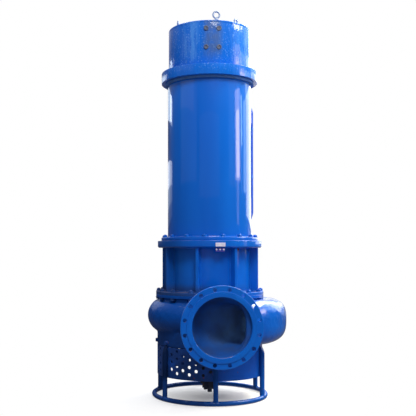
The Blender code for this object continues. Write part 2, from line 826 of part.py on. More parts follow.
def build_impeller():
    """The impeller: a disc and hub with four swept blades under it."""
    top = SHAFT_SHOULDER - GAP
    bore = IMPELLER_SHAFT_RADIUS + GAP
    impeller = turned(
        "impeller",
        [
            (IMPELLER_RADIUS, top),
            (IMPELLER_RADIUS, IMPELLER_DISC_BOTTOM),
            (IMPELLER_HUB_RADIUS, IMPELLER_DISC_BOTTOM),
            (IMPELLER_HUB_RADIUS, IMPELLER_BOTTOM),
            (bore, IMPELLER_BOTTOM),
            (bore, top),
        ],
        "dark_iron",
        MIDDLE_STEPS,
        ROTOR,
    )
    blade_top = 0.5 * (IMPELLER_DISC_BOTTOM + top)
    inner = 0.5 * (IMPELLER_HUB_RADIUS + bore)
    work = bmesh.new()
    for index in range(IMPELLER_BLADES):
        azimuth = 360.0 * index / IMPELLER_BLADES
        spot = facing(azimuth, 0.0, 0.5 * (IMPELLER_BOTTOM + blade_top))
        start = Matrix.Translation((0.0, 0.0, inner)) @ Matrix.Rotation(math.radians(BLADE_SWEEP), 4, "Y")
        box = Matrix.Translation((0.0, 0.0, 0.5 * BLADE_LENGTH))
        size = (BLADE_THICKNESS, blade_top - IMPELLER_BOTTOM, BLADE_LENGTH)
        made = bmesh.ops.create_cube(work, size=1.0)
        bmesh.ops.scale(work, vec=size, verts=made["verts"])
        bmesh.ops.transform(work, matrix=spot @ start @ box, verts=made["verts"])
    blades = make_guide("impeller_blades", new_bmesh_mesh("impeller_blades", work))
    add_boolean(impeller, blades, "UNION")


def agitator_blade_outline():
    """Return (distance, height) points of one stirring blade, with its stepped outer edge."""
    low = AGITATOR_BLADE_BOTTOM
    inner = 0.6 * AGITATOR_HUB_RADIUS
    edge = [(distance, low + rise) for distance, rise in AGITATOR_BLADE_STEPS]
    return [(inner, low + 0.002)] + edge + [(inner, low + AGITATOR_BLADE_HEIGHT)]


def build_agitator():
    """The agitator: a hub with stepped stirring blades and an end nut."""
    bore = AGITATOR_SHAFT_RADIUS + GAP
    bore_bottom = SHAFT_BOTTOM - GAP
    agitator = turned(
        "agitator",
        [
            (AGITATOR_HUB_RADIUS, AGITATOR_TOP),
            (AGITATOR_HUB_RADIUS, AGITATOR_NUT_TOP),
            (AGITATOR_TIP_RADIUS, AGITATOR_BLADE_BOTTOM),
            (AGITATOR_TIP_RADIUS, AGITATOR_TIP),
            (0.0, AGITATOR_TIP),
            (0.0, bore_bottom),
            (bore, bore_bottom),
            (bore, AGITATOR_TOP),
        ],
        "dark_iron",
        MIDDLE_STEPS,
        ROTOR,
    )
    outline = agitator_blade_outline()
    work = bmesh.new()
    for index in range(AGITATOR_BLADES):
        azimuth = 360.0 * (index + 0.5) / AGITATOR_BLADES
        spot = facing(azimuth, 0.0, 0.0)
        verts = [work.verts.new((-0.5 * BLADE_THICKNESS, height, distance)) for distance, height in outline]
        face = work.faces.new(verts)
        pushed = bmesh.ops.extrude_face_region(work, geom=[face])
        moved = [item for item in pushed["geom"] if isinstance(item, bmesh.types.BMVert)]
        bmesh.ops.translate(work, vec=(BLADE_THICKNESS, 0.0, 0.0), verts=moved)
        bmesh.ops.transform(work, matrix=spot, verts=verts + moved)
    blades = make_guide("agitator_blades", new_bmesh_mesh("agitator_blades", work))
    add_boolean(agitator, blades, "UNION")


def main():
    """Build every piece of the pump."""
    build_base_ring()
    for number, azimuth in enumerate(LEG_AZIMUTHS, start=1):
        build_leg(number, azimuth, FRONT_LEG_TOP if number == 1 else LEG_TOP)
    build_strainer()
    build_suction_cover()
    build_volute()
    build_discharge_flange()
    build_oil_chamber()
    build_motor()
    build_side_conduit()
    build_lifting_eyes()
    build_cap_plugs()
    build_cable_gland()
    build_label_plate()
    build_shaft()
    build_impeller()
    build_agitator()


clear_scene()
PARTS = make_collection(NAME)
CUTTERS = make_collection(NAME + "_cutters")
MATERIALS = make_materials()
PUMP = make_empty("pump_axis")
PUMP.location = (AXIS_X, AXIS_Y, 0.0)
ROTOR = make_empty("rotor_axis", PUMP)
main()
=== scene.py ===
"""Looks of a submersible sand pump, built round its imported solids.

The pump stands on a ring of pipe. From the floor up it has a strainer skirt, a cast volute whose flanged
discharge faces the front, a ribbed oil chamber, a long motor housing, a collar and a cap with lifting eyes.
Units are metres and +Z is up. An azimuth is in degrees round the pump axis: 0 faces the front (-Y) and 90
faces +X.
"""
import sys
import logging
import math
from dataclasses import dataclass, field
from enum import Enum

import bmesh
import bpy
import numpy as np
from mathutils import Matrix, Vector


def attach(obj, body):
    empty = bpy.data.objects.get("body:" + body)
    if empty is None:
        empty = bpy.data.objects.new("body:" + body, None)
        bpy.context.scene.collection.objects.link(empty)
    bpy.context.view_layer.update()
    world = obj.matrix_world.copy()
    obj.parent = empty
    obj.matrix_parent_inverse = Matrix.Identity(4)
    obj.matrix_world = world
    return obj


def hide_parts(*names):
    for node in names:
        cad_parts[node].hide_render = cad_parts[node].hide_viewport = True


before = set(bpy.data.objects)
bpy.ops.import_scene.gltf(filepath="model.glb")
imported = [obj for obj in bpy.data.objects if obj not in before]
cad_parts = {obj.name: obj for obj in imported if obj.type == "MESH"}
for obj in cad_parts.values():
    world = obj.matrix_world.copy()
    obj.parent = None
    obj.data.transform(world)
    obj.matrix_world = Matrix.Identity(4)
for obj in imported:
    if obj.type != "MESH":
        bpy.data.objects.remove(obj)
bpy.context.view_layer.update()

Array = np.ndarray
Tree = bpy.types.NodeTree
Socket = bpy.types.NodeSocket
Span = tuple[float, float]
LOG = logging.getLogger("pump")

# The pump's upright axis, the slit between touching pieces, and the bore that the flanges leave the shaft.
AXIS = np.array([-0.05095, 0.07172, 0.0])
UP = np.array([0.0, 0.0, 1.0])
GAP = 0.0003
SHAFT_BORE = 0.046
# A weld bead has four points to a ripple, and stands this far out of its corner.
WELD_STEP = 0.006
WELD_RIPPLE = 0.14
WELD_STAND = 0.001
# Points round a turned piece, from the widest to the smallest, in a rounded corner and along a cell's side.
WIDE_STEPS = 192
MIDDLE_STEPS = 64
SMALL_STEPS = 24
ARC_STEPS = 4
CELL_STEPS = 8


class Body(Enum):
    """The bodies that a piece can ride on."""

    PUMP = "pump"
    ROTOR = "rotor"


class Slot(Enum):
    """The record's material slots."""

    ENAMEL = "blue_enamel"
    CAST = "cast_blue_enamel"
    DARK = "dark_blue_enamel"
    IRON = "cast_iron"
    STEEL = "bare_steel"
    PLATE = "label_white"


# Vectors and profiles


def unit(vectors: Array) -> Array:
    """Returns vectors scaled to length one; a vector of no length stays as it is."""
    length = np.linalg.norm(vectors, axis=-1, keepdims=True)
    return vectors / np.where(length > 0.0, length, 1.0)


def evenly(count: int, first: float = 0.0) -> Array:
    """Returns azimuths spaced evenly all the way round."""
    return first + np.arange(count) * 360.0 / count


def outward(azimuth: Array | float) -> Array:
    """Returns the level direction away from the axis: (sin a, -cos a, 0)."""
    angle = np.radians(azimuth)
    return np.stack([np.sin(angle), -np.cos(angle), np.zeros_like(angle)], -1)


def sideways(azimuth: Array | float) -> Array:
    """Returns the level direction across the outward one: up x outward."""
    return np.cross(UP, outward(azimuth))


def around(azimuth: Array | float, radius: Array | float, height: Array | float) -> Array:
    """Places points round the pump axis: axis + radius (sin a, -cos a) in plan, at the height."""
    azimuth, radius, height = np.broadcast_arrays(*(np.asarray(v, float) for v in (azimuth, radius, height)))
    return AXIS + outward(azimuth) * radius[..., None] + UP * height[..., None]


def stood(azimuth: float, foot: Array, out: Array, aside: Array, height: Array) -> Array:
    """Places points by how far outward, sideways and up they lie from a foot at the azimuth."""
    level = foot + out[..., None] * outward(azimuth) + aside[..., None] * sideways(azimuth)
    return level + height[..., None] * UP


def rounded(points: Array | list, radius: list | float, closed: bool = False) -> Array:
    """Rounds the corners of a profile or path.

    Each corner becomes an arc that touches both sides: the vector from the arc's centre turns evenly from
    one tangent point to the other.

    Args:
        points: corners, in two or three dimensions.
        radius: one radius, or one for each corner.
        closed: True joins the last corner to the first.

    Returns:
        The points of the rounded profile in order.
    """
    corner = np.asarray(points, float)
    reach = np.maximum(np.broadcast_to(np.asarray(radius, float), len(corner)), 1e-6)[:, None]
    back = unit(np.roll(corner, 1, 0) - corner)
    ahead = unit(np.roll(corner, -1, 0) - corner)
    half = np.arccos(np.clip((back * ahead).sum(1, keepdims=True), -0.9999, 0.9999)) / 2.0
    centre = corner + unit(back + ahead) * reach / np.sin(half)
    first = (corner + back * reach / np.tan(half) - centre)[:, None]
    last = (corner + ahead * reach / np.tan(half) - centre)[:, None]
    turn = (np.pi - 2.0 * half)[:, None]
    share = np.linspace(0.0, 1.0, ARC_STEPS + 1)[None, :, None]
    swing = first * np.sin((1.0 - share) * turn) + last * np.sin(share * turn)
    arcs = centre[:, None] + swing / np.sin(turn)
    if not closed:
        arcs[0] = corner[0]
        arcs[-1] = corner[-1]
    return arcs.reshape(-1, corner.shape[1])


def oblong(width: float, tall: float, radius: float) -> Array:
    """Returns the outline of a flat block with rounded corners, round the origin."""
    x, y = width / 2.0, tall / 2.0
    return rounded([(-x, -y), (x, -y), (x, y), (-x, y)], radius, closed=True)


def ring_section(outer: float, inner: float, bottom: float, top: float, edge: float) -> Array:
    """Returns the section of a ring with rounded edges, as (radius, height) points."""
    return rounded([(outer, bottom), (outer, top), (inner, top), (inner, bottom)], edge, closed=True)


def circle(radius: float, steps: int) -> Array:
    """Returns a circle of (across, up) points."""
    angle = np.arange(steps) * 2.0 * np.pi / steps
    return radius * np.stack([np.cos(angle), np.sin(angle)], -1)


def turned(profile: Array, steps: int = WIDE_STEPS) -> Array:
    """Turns a profile of (radius, height) points round the pump axis: rows follow the profile."""
    return around(evenly(steps)[None, :], profile[:, :1], profile[:, 1:])


def lathed(profile: Array, steps: int = SMALL_STEPS) -> Array:
    """Turns a profile of (radius, height) points round the local z axis."""
    level = np.broadcast_to(profile[:, None, 1:], (len(profile), steps, 1))
    return np.concatenate([profile[:, None, :1] * circle(1.0, steps), level], -1)


def swept(path: Array, section: Array, closed: bool = False, upright: Array = UP) -> Array:
    """Carries a section along a path.

    Side is the unit of (tangent x upright) and top is (side x tangent); a point is path + side a + top b.

    Args:
        path: (rows, 3) points.
        section: (columns, 2) or (rows, columns, 2) of (a, b).
        closed: True where the path ends where it starts.
        upright: one direction, or one for each row, that is never along the path.

    Returns:
        A (rows, columns, 3) grid.
    """
    if closed:
        ahead = unit(np.roll(path, -1, 0) - np.roll(path, 1, 0))
    else:
        ahead = unit(np.gradient(path, axis=0))
    side = unit(np.cross(ahead, upright))
    top = np.cross(side, ahead)
    section = np.broadcast_to(section, (len(path),) + section.shape[-2:])
    return path[:, None] + section[..., :1] * side[:, None] + section[..., 1:] * top[:, None]


def capped(grid: Array) -> Array:
    """Closes a tube: a row at each end is drawn together to its middle."""
    ends = [np.broadcast_to(grid[i].mean(0), grid[i].shape)[None] for i in (0, -1)]
    return np.concatenate([ends[0], grid, ends[1]])


def bead(path: Array, radius: float, closed: bool = False, upright: Array = UP) -> Array:
    """Lays a weld bead along a path: a tube that swells and shrinks once in four points.

    Args:
        path: (rows, 3) points.
        radius: the tube's middle radius.
        closed: True where the path ends where it starts.
        upright: a direction that is never along the path.

    Returns:
        A (rows, 8, 3) grid, with its ends closed where the path is open.
    """
    swell = 1.0 + WELD_RIPPLE * np.cos(np.arange(len(path)) * np.pi * 0.5)
    grid = swept(path, circle(radius, 8)[None] * swell[:, None, None], closed, upright)
    return grid if closed else capped(grid)


def ring_bead(radius: float, height: float, size: float) -> Array:
    """Lays a weld bead of whole ripples right round the pump axis."""
    steps = 4 * round(2.0 * np.pi * radius / (4 * WELD_STEP))
    return bead(around(evenly(steps), radius, height), size, True)


def set_out(grid: Array, places: Array, axis: Array, front: Array) -> Array:
    """Copies a grid to several places.

    A local point (x, y, z) goes to place + front x + (axis x front) y + axis z.

    Args:
        grid: (rows, columns, 3) in local metres.
        places: (copies, 3).
        axis: the local z direction of each copy, or of all.
        front: the local x direction of each copy, or of all.

    Returns:
        A (copies, rows, columns, 3) grid.
    """
    axis = np.broadcast_to(axis, places.shape)
    front = np.broadcast_to(front, places.shape)
    basis = np.stack([front, np.cross(axis, front), axis], -1)
    return places[:, None, None] + np.einsum("nij,rcj->nrci", basis, grid)


def pierced(centres: Array, half: Span, hole: Span) -> Array:
    """Lays square cells with a round hole in each.

    Rows run from the square (share 1) to the hole (share 0), and back to the square behind: each point of
    the square slides towards the circle along the same ray.

    Args:
        centres: (cells, 2) middles.
        half: half of the cell's size each way.
        hole: the hole's radius each way.

    Returns:
        A (cells, 6, columns, 2) grid, whose first three rows are the front's.
    """
    side = np.arange(CELL_STEPS) * 2.0 / CELL_STEPS - 1.0
    one = np.ones(CELL_STEPS)
    sides = ((side, -one), (one, side), (-side, one), (-one, -side))
    square = np.concatenate([np.stack(pair, -1) for pair in sides])
    share = np.array([1.0, 0.3, 0.0, 0.0, 0.3, 1.0])[:, None, None]
    ring = share * square * np.array(half) + (1.0 - share) * unit(square) * np.array(hole)
    return centres[:, None, None] + ring


# Shader nodes


def linear(colour: str) -> tuple[float, float, float, float]:
    """Turns an sRGB colour to linear: c / 12.92 near black, else ((c + 0.055) / 1.055) ^ 2.4.

    Args:
        colour: hex, as "#RRGGBB".

    Returns:
        Red, green, blue and an alpha of one.
    """
    parts = [int(colour[i : i + 2], 16) / 255.0 for i in (1, 3, 5)]
    red, green, blue = (c / 12.92 if c <= 0.04045 else ((c + 0.055) / 1.055) ** 2.4 for c in parts)
    return red, green, blue, 1.0


def emptied(owner: bpy.types.Material | bpy.types.World) -> Tree:
    """Empties a node tree.

    Args:
        owner: the material or world that has the tree.

    Returns:
        The tree, with nothing in it.
    """
    owner.use_nodes = True
    owner.node_tree.nodes.clear()
    return owner.node_tree


def add_node(tree: Tree, kind: str, links: dict | None = None, **settings: str) -> bpy.types.Node:
    """Adds a shader node.

    Args:
        tree: the node tree.
        kind: the node's type after the word ShaderNode.
        links: a value, or another node's socket, for each input.
        settings: properties to set.

    Returns:
        The node.
    """
    node = tree.nodes.new("ShaderNode" + kind)
    for key, value in settings.items():
        setattr(node, key, value)
    for key, value in (links or {}).items():
        if isinstance(value, Socket):
            tree.links.new(value, node.inputs[key])
        else:
            node.inputs[key].default_value = value
    return node


def noise(tree: Tree, place: Socket, size: float, detail: float) -> Socket:
    """Adds noise whose patches have a real size."""
    return add_node(tree, "TexNoise", {"Vector": place, "Scale": 1.0 / size, "Detail": detail}).outputs[0]


def ramp(tree: Tree, value: Socket, source: Span, target: Span = (0.0, 1.0), eased: bool = True) -> Socket:
    """Adds a ramp.

    Args:
        tree: the node tree.
        value: what the ramp reads.
        source: the values at its two ends.
        target: what it gives there.
        eased: True for a smooth step, False for a straight line.

    Returns:
        The socket of the result.
    """
    ends = dict(zip(("From Min", "From Max", "To Min", "To Max"), (*source, *target)))
    curve = "SMOOTHSTEP" if eased else "LINEAR"
    return add_node(tree, "MapRange", {"Value": value, **ends}, interpolation_type=curve).outputs[0]


def part(tree: Tree, vector: Socket, along: str) -> Socket:
    """Adds a node that takes one coordinate of a vector."""
    return add_node(tree, "SeparateXYZ", {"Vector": vector}).outputs[along]


def product(tree: Tree, first: Socket, second: Socket) -> Socket:
    """Adds a node that multiplies two numbers."""
    return add_node(tree, "Math", {0: first, 1: second}, operation="MULTIPLY").outputs[0]


def blend(tree: Tree, share: Socket, first: Socket | float, second: float) -> Socket:
    """Adds a node that goes from one number to another as the share grows."""
    return add_node(tree, "Mix", {0: share, 2: first, 3: second}).outputs[0]


def tint(tree: Tree, share: Socket, first: Socket | tuple, second: tuple) -> Socket:
    """Adds a node that goes from one colour to another as the share grows."""
    return add_node(tree, "Mix", {0: share, 6: first, 7: second}, data_type="RGBA").outputs[2]


def drawn_out(tree: Tree, place: Socket, stretch: float) -> Socket:
    """Adds a mapping that draws patterns out along z, the more the smaller the stretch."""
    return add_node(tree, "Mapping", {"Vector": place, "Scale": (1.0, 1.0, stretch)}).outputs[0]


# Finishes


@dataclass(frozen=True)
class Stain:
    """Dust, rust, mud and rubbed paint that lie on a finish in patches of a real size. Some stains are
    instead painted shade, painted reflections and painted fill light.

    An edge is a coordinate, where along it the stain starts and where it is full.
    """

    colour: str
    size: float
    low: float
    high: float
    amount: float
    roughness: float
    upward: bool = False
    edges: tuple[tuple[str, float, float], ...] = ()
    stretch: float = 1.0

    def factor(self, tree: Tree, place: Socket) -> Socket:
        """Builds how much of the stain lies at each spot.

        Noise of the patch size is stretched between low and high, then multiplied by how far the face
        looks up, where the stain lies on ledges, and by a smooth step for each edge that it has.

        Args:
            tree: the material's node tree.
            place: object coordinates.

        Returns:
            The socket of the factor.
        """
        patches = noise(tree, drawn_out(tree, place, self.stretch), self.size, 5.0)
        found = ramp(tree, patches, (self.low, self.high), (0.0, self.amount))
        if self.upward:
            normal = add_node(tree, "NewGeometry").outputs["Normal"]
            found = product(tree, found, ramp(tree, part(tree, normal, "Z"), (0.55, 0.95)))
        for along, low, high in self.edges:
            found = product(tree, found, ramp(tree, part(tree, place, along), (low, high)))
        return found


@dataclass(frozen=True)
class Finish:
    """What a surface is made of and how it was made; lumps and peel are each a size and a height."""

    name: str
    colour: str
    faded: str
    roughness: float
    cloud: float = 0.25
    stretch: float = 1.0
    lumps: Span = (0.020, 0.0)
    peel: Span = (0.006, 0.00002)
    coat: float = 0.0
    coat_roughness: float = 0.05
    metallic: float = 0.0
    specular: float = 0.5
    stains: tuple[Stain, ...] = ()

    def material(self) -> bpy.types.Material:
        """Makes the material, once.

        Returns:
            The material.
        """
        made = bpy.data.materials.get(self.name)
        if not made:
            made = bpy.data.materials.new(self.name)
            tree = emptied(made)
            add_node(tree, "OutputMaterial", {"Surface": self.shader(tree)})
        return made

    def shader(self, tree: Tree) -> Socket:
        """Builds the shader: clouded colour, then stains over it, then two sizes of bump.

        Args:
            tree: the material's node tree.

        Returns:
            The shader's socket.
        """
        place = add_node(tree, "TexCoord").outputs["Object"]
        drawn = drawn_out(tree, place, self.stretch)
        share = ramp(tree, noise(tree, drawn, self.cloud, 4.0), (0.3, 0.7))
        tone = tint(tree, share, linear(self.colour), linear(self.faded))
        rough = self.roughness
        coat = self.coat
        for stain in self.stains:
            factor = stain.factor(tree, place)
            tone = tint(tree, factor, tone, linear(stain.colour))
            rough = blend(tree, factor, rough, stain.roughness)
            if self.coat:
                coat = blend(tree, factor, coat, 0.0)
        bumps = {}
        for size, height in (self.lumps, self.peel):
            if height:
                shape = {"Height": noise(tree, drawn, size, 2.0), "Distance": height}
                bumps = {"Normal": add_node(tree, "Bump", {**shape, **bumps}).outputs[0]}
        if self.coat:
            bumps["Coat Normal"] = bumps["Normal"]
        values = {
            "Base Color": tone,
            "Roughness": rough,
            "Metallic": self.metallic,
            "Specular IOR Level": self.specular,
            "Coat Weight": coat,
            "Coat Roughness": self.coat_roughness,
        }
        return add_node(tree, "BsdfPrincipled", {**values, **bumps}).outputs[0]


LID_SIDE = ("Z", 2.7549, 2.748)
DUST = Stain("#8C8782", 0.060, 0.30, 0.70, 0.55, 0.8, upward=True)
CREASE_DUST = Stain("#7C7482", 0.050, 0.42, 0.66, 0.60, 0.85, upward=True)
RUST_SPOTS = Stain("#6B3A22", 0.030, 0.66, 0.74, 0.9, 0.85)
WORN_EDGES = (("X", -0.160, -0.095), ("X", 0.025, -0.045), ("Y", 0.05, -0.10), ("Z", 2.43, 2.56), LID_SIDE)
WORN_PATCH = Stain("#56626E", 0.060, 0.15, 0.60, 0.55, 0.6, edges=WORN_EDGES)
SCUFFS = Stain("#78AAE8", 0.011, 0.56, 0.70, 0.50, 0.45, edges=(("Z", 2.34, 2.42),))
# Pale upright streaks on the cap's right front: brush marks, and painted reflections of the lights on the lit
# side.
BRUSH_AND_SHEEN_EDGES = (("X", 0.06, 0.15), ("X", 0.29, 0.24), ("Y", 0.00, -0.08), LID_SIDE, ("Z", 2.42, 2.44))
BRUSH_MARKS_AND_SHEEN = Stain("#4F94E0", 0.013, 0.42, 0.66, 0.30, 0.30, edges=BRUSH_AND_SHEEN_EDGES, stretch=0.20)
# Pale upright streaks on the cap's left front: brush marks, and a painted reflection of the left strip light.
LEFT_EDGES = (("X", -0.289, -0.234), ("X", -0.145, -0.205), ("Z", 2.43, 2.50), LID_SIDE)
LEFT_MARKS_AND_SHEEN = Stain("#5C9CE4", 0.020, 0.36, 0.62, 0.45, 0.32, edges=LEFT_EDGES, stretch=0.12)
# Painted shade: a darker blue that deepens the casting's left side.
PAINTED_LEFT_SHADE = Stain("#0A3F8C", 0.300, 0.10, 0.40, 0.80, 0.35, edges=(("X", 0.02, -0.30),))
# Grime in the crease at the chamber's foot, and painted shade that deepens it towards the left.
CREASE_SHADE_EDGES = (("Y", -0.50, -0.42), ("Z", 0.86, 0.80), ("X", 0.45, -0.25))
GREASE_AND_SHADE = Stain("#2C3E66", 0.060, 0.10, 0.40, 0.70, 0.6, edges=CREASE_SHADE_EDGES)
# Painted shade: a darker blue on the oil chamber's left side.
PLATE_SHADE_EDGES = (("Y", -0.50, -0.42), ("Z", 1.20, 1.15), ("X", -0.20, -0.38))
PAINTED_PLATE_SHADE = Stain("#163A74", 0.200, 0.00, 0.30, 0.60, 0.5, edges=PLATE_SHADE_EDGES)
# Slurry film, and painted shade that darkens the lower left.
SLURRY_AND_SHADE = Stain("#183468", 0.150, 0.15, 0.50, 0.85, 0.7, edges=(("X", 0.10, -0.26), ("Z", 0.62, 0.46)))
# Painted shade: very dark navy high on the left legs, under the casing.
PAINTED_LEG_SHADE = Stain("#0C1C3C", 0.100, 0.05, 0.30, 0.90, 0.6, edges=(("Z", 0.13, 0.19), ("X", 0.05, -0.25)))
MUD = Stain("#20304E", 0.070, 0.45, 0.65, 0.5, 0.85, edges=(("Z", 0.45, 0.15), ("X", 0.15, -0.15)))
# Painted light: a paler blue deep inside the casting, as if lit.
PAINTED_BORE_LIGHT = Stain("#5A8ACA", 0.200, 0.00, 0.30, 0.70, 0.85, edges=(("Y", -0.45, -0.22),))
GREY_FILM = Stain("#3A414F", 0.120, 0.42, 0.66, 0.35, 0.85)
PLUG_FILM = Stain("#5E6470", 0.020, 0.25, 0.60, 0.75, 0.6)
ZINC_SPOTS = Stain("#5F6C86", 0.012, 0.60, 0.74, 0.5, 0.7)
BROWN_BLOOM = Stain("#6E5445", 0.012, 0.58, 0.72, 0.5, 0.7)

# Enamel sprayed on rolled steel: a deep even blue under a hard clear gloss, with the plate's long slow waves.
ROLLED_ENAMEL = Finish(
    "rolled_steel_enamel", "#065FC8", "#0A69D2", 0.32, cloud=0.30, stretch=0.15, lumps=(0.16, 0.0012),
    peel=(0.012, 0.00004), coat=1.0, coat_roughness=0.03, specular=0.03, stains=(DUST,),
)
# The cap's enamel, brushed on by hand: close lumps break up its reflections, with scuffs, a worn patch, and
# pale streaks that are brush marks and painted reflections of the lights.
BRUSHED_ENAMEL = Finish(
    "brushed_cap_enamel", "#065FC8", "#0A6AD4", 0.34, stretch=0.22, lumps=(0.026, 0.0034),
    peel=(0.007, 0.00045), coat=0.9, specular=0.03, stains=(SCUFFS, BRUSH_MARKS_AND_SHEEN, LEFT_MARKS_AND_SHEEN, WORN_PATCH),
)
# Steel plugs under thin paint and grey film.
PLUG_FINISH = Finish(
    "filmed_plug_enamel", "#2C4F8C", "#223C70", 0.45, peel=(0.006, 0.0002), stains=(PLUG_FILM,)
)
# The same enamel on machined flanges and welded plate: a little flatter, with dust on the ledges, grime and
# painted shade low on the chamber, and painted shade on its left side.
PLATE_ENAMEL = Finish(
    "welded_plate_enamel", "#055BC0", "#0A66CC", 0.36, lumps=(0.050, 0.0008), peel=(0.010, 0.00006),
    coat=0.8, coat_roughness=0.07, specular=0.03, stains=(PAINTED_PLATE_SHADE, GREASE_AND_SHADE, CREASE_DUST),
)
# The stand's enamel: thinner, and darker as painted shade of the casing above it, chipped where it is stood
# on, with slurry film and painted shade on its left and painted shade high on its left legs.
STAND_ENAMEL = Finish(
    "stand_enamel", "#0450AC", "#085AB8", 0.40, lumps=(0.040, 0.0006), peel=(0.010, 0.00010),
    coat=0.7, coat_roughness=0.10, specular=0.03, stains=(SLURRY_AND_SHADE, PAINTED_LEG_SHADE, RUST_SPOTS),
)
# Enamel brushed on rough cast iron: lumps 20 to 40 mm across break its reflections into wavy patches. Painted
# shade darkens its left side and, with slurry film, its lower left.
CAST_ENAMEL = Finish(
    "cast_iron_enamel", "#0558BE", "#0A62C8", 0.30, lumps=(0.036, 0.0046), peel=(0.012, 0.00012),
    coat=1.0, coat_roughness=0.03, specular=0.03, stains=(PAINTED_LEFT_SHADE, SLURRY_AND_SHADE),
)
# The casting's inside: one thin dull coat, rough and darker, that shows no gloss; deep inside, a paler colour
# is painted light that lifts it as if lit.
INNER_ENAMEL = Finish(
    "dull_inner_enamel", "#124C9A", "#1852A2", 0.80, lumps=(0.040, 0.0020), peel=(0.008, 0.0003),
    specular=0.2, stains=(PAINTED_BORE_LIGHT, GREY_FILM),
)
# Enamel rubbed dull by slurry, with mud film, slurry film and painted shade on the lower left, rust at the
# holes and specks.
SKIRT_ENAMEL = Finish(
    "rubbed_skirt_enamel", "#0456C4", "#0A5CCC", 0.45, lumps=(0.030, 0.0006), peel=(0.008, 0.0001),
    coat=0.30, coat_roughness=0.25, specular=0.2, stains=(SLURRY_AND_SHADE, MUD, RUST_SPOTS),
)
# Hard iron casting under thin dark paint, rough from the sand mould.
ROUGH_IRON = Finish(
    "sand_cast_iron", "#182338", "#222B3C", 0.62, lumps=(0.020, 0.0012), peel=(0.005, 0.0003),
    stains=(RUST_SPOTS,),
)
# The conduit's rubbery paint, violet beside the enamel and nearly without gloss.
CONDUIT_PAINT = Finish("dull_conduit_paint", "#2450BE", "#2C5AC8", 0.65, cloud=0.05, specular=0.15)
# Pale bluish grey satin paint on the lifting eyes: its pale colour is a painted reflection of the bright sky
# on their steel.
PAINTED_SKY_SHEEN = Finish(
    "sky_sheen_painted_steel", "#93A6C6", "#7F93B5", 0.42, cloud=0.02, peel=(0.003, 0.00006), stains=(ZINC_SPOTS,)
)
# Forged and turned steel, dull grey with finger marks and thin brown bloom.
FORGED_STEEL = Finish(
    "forged_steel", "#A9A7A2", "#8E8B86", 0.38, cloud=0.03, peel=(0.003, 0.00008), metallic=1.0,
    stains=(BROWN_BLOOM,),
)
# Bare steel under an even brown skin of rust.
RUSTY_STEEL = Finish("rusty_steel", "#5E3E30", "#74503C", 0.70, cloud=0.01, peel=(0.002, 0.0001))
# Satin white lacquer on a thin plate.
SATIN_WHITE = Finish("satin_white_plate", "#DCDAE4", "#CFCBDD", 0.45, cloud=0.02, peel=(0.006, 0.00003))
# Violet primer left bare under the plate.
VIOLET_TAG = Finish("violet_primer", "#3B3D9C", "#30318C", 0.45, cloud=0.02)


# Pieces


@dataclass
class Piece:
    """One piece of the pump, gathered from grids of points."""

    name: str
    finish: Finish
    slot: Slot
    replaces: tuple[str, ...] = ()
    body: Body = Body.PUMP
    crease: float = 38.0
    points: list[Array] = field(default_factory=list)
    faces: list[Array] = field(default_factory=list)
    count: int = 0

    def add(self, *grids: Array, wrap_rows: bool = False, wrap_columns: bool = True) -> "Piece":
        """Adds grids.

        Args:
            grids: each (rows, columns, 3), or (copies, rows, columns, 3) for several alike.
            wrap_rows: True joins the last row to the first.
            wrap_columns: True joins the last column to the first.

        Returns:
            The piece itself.
        """
        for grid in grids:
            rows, columns = grid.shape[-3:-1]
            size = rows * columns
            index = np.arange(size).reshape(rows, columns)
            index = np.pad(index, ((0, wrap_rows), (0, wrap_columns)), mode="wrap")
            corners = np.stack([index[:-1, :-1], index[1:, :-1], index[1:, 1:], index[:-1, 1:]], -1)
            copies = grid.reshape(-1, size, 3)
            starts = self.count + np.arange(len(copies)) * size
            self.faces.append((starts[:, None, None] + corners.reshape(-1, 4)).reshape(-1, 4))
            self.points.append(copies.reshape(-1, 3))
            self.count += size * len(copies)
        return self

    def mesh(self) -> bpy.types.Mesh:
        """Makes the mesh: doubled points merge, which closes seams and poles, and faces turn outwards.

        Returns:
            The mesh, with no material yet.
        """
        points = np.concatenate(self.points)
        faces = np.concatenate(self.faces)
        made = bpy.data.meshes.new(self.name)
        made.vertices.add(len(points))
        made.vertices.foreach_set("co", points.astype(np.float32).ravel())
        made.loops.add(faces.size)
        made.loops.foreach_set("vertex_index", faces.astype(np.int32).ravel())
        made.polygons.add(len(faces))
        made.polygons.foreach_set("loop_start", np.arange(0, faces.size, 4, dtype=np.int32))
        made.update(calc_edges=True)
        work = bmesh.new()
        work.from_mesh(made)
        bmesh.ops.remove_doubles(work, verts=work.verts[:], dist=2e-5)
        bmesh.ops.dissolve_degenerate(work, dist=1e-6, edges=work.edges[:])
        bmesh.ops.recalc_face_normals(work, faces=work.faces[:])
        work.to_mesh(made)
        work.free()
        return made

    def build(self, mesh: bpy.types.Mesh | None = None, inside: Array | None = None) -> None:
        """Makes the object, dresses it and lets it ride.

        Args:
            mesh: the finished mesh, where it isn't simply the grids'.
            inside: True for each face that has the casting's inner finish.
        """
        mesh = mesh or self.mesh()
        mesh.name = self.name
        mesh.polygons.foreach_set("use_smooth", np.ones(len(mesh.polygons), bool))
        mesh.set_sharp_from_angle(angle=math.radians(self.crease))
        mesh.materials.clear()
        mesh.materials.append(self.finish.material())
        if inside is not None:
            mesh.materials.append(INNER_ENAMEL.material())
            mesh.polygons.foreach_set("material_index", inside.astype(np.int32))
        item = bpy.data.objects.new(self.name, mesh)
        bpy.context.scene.collection.objects.link(item)
        if self.replaces:
            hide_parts(*self.replaces)
        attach(item, self.body.value)
        LOG.info("%s: %d faces", self.name, len(mesh.polygons))


def build_ring(
    name: str, finish: Finish, slot: Slot, node: str, radii: Span, heights: Span, edge: float
) -> None:
    """Builds a piece that is one turned ring: outer and inner radius, bottom and top, rounded edges."""
    section = ring_section(*radii, *heights, edge)
    Piece(name, finish, slot, (node,)).add(turned(section), wrap_rows=True).build()


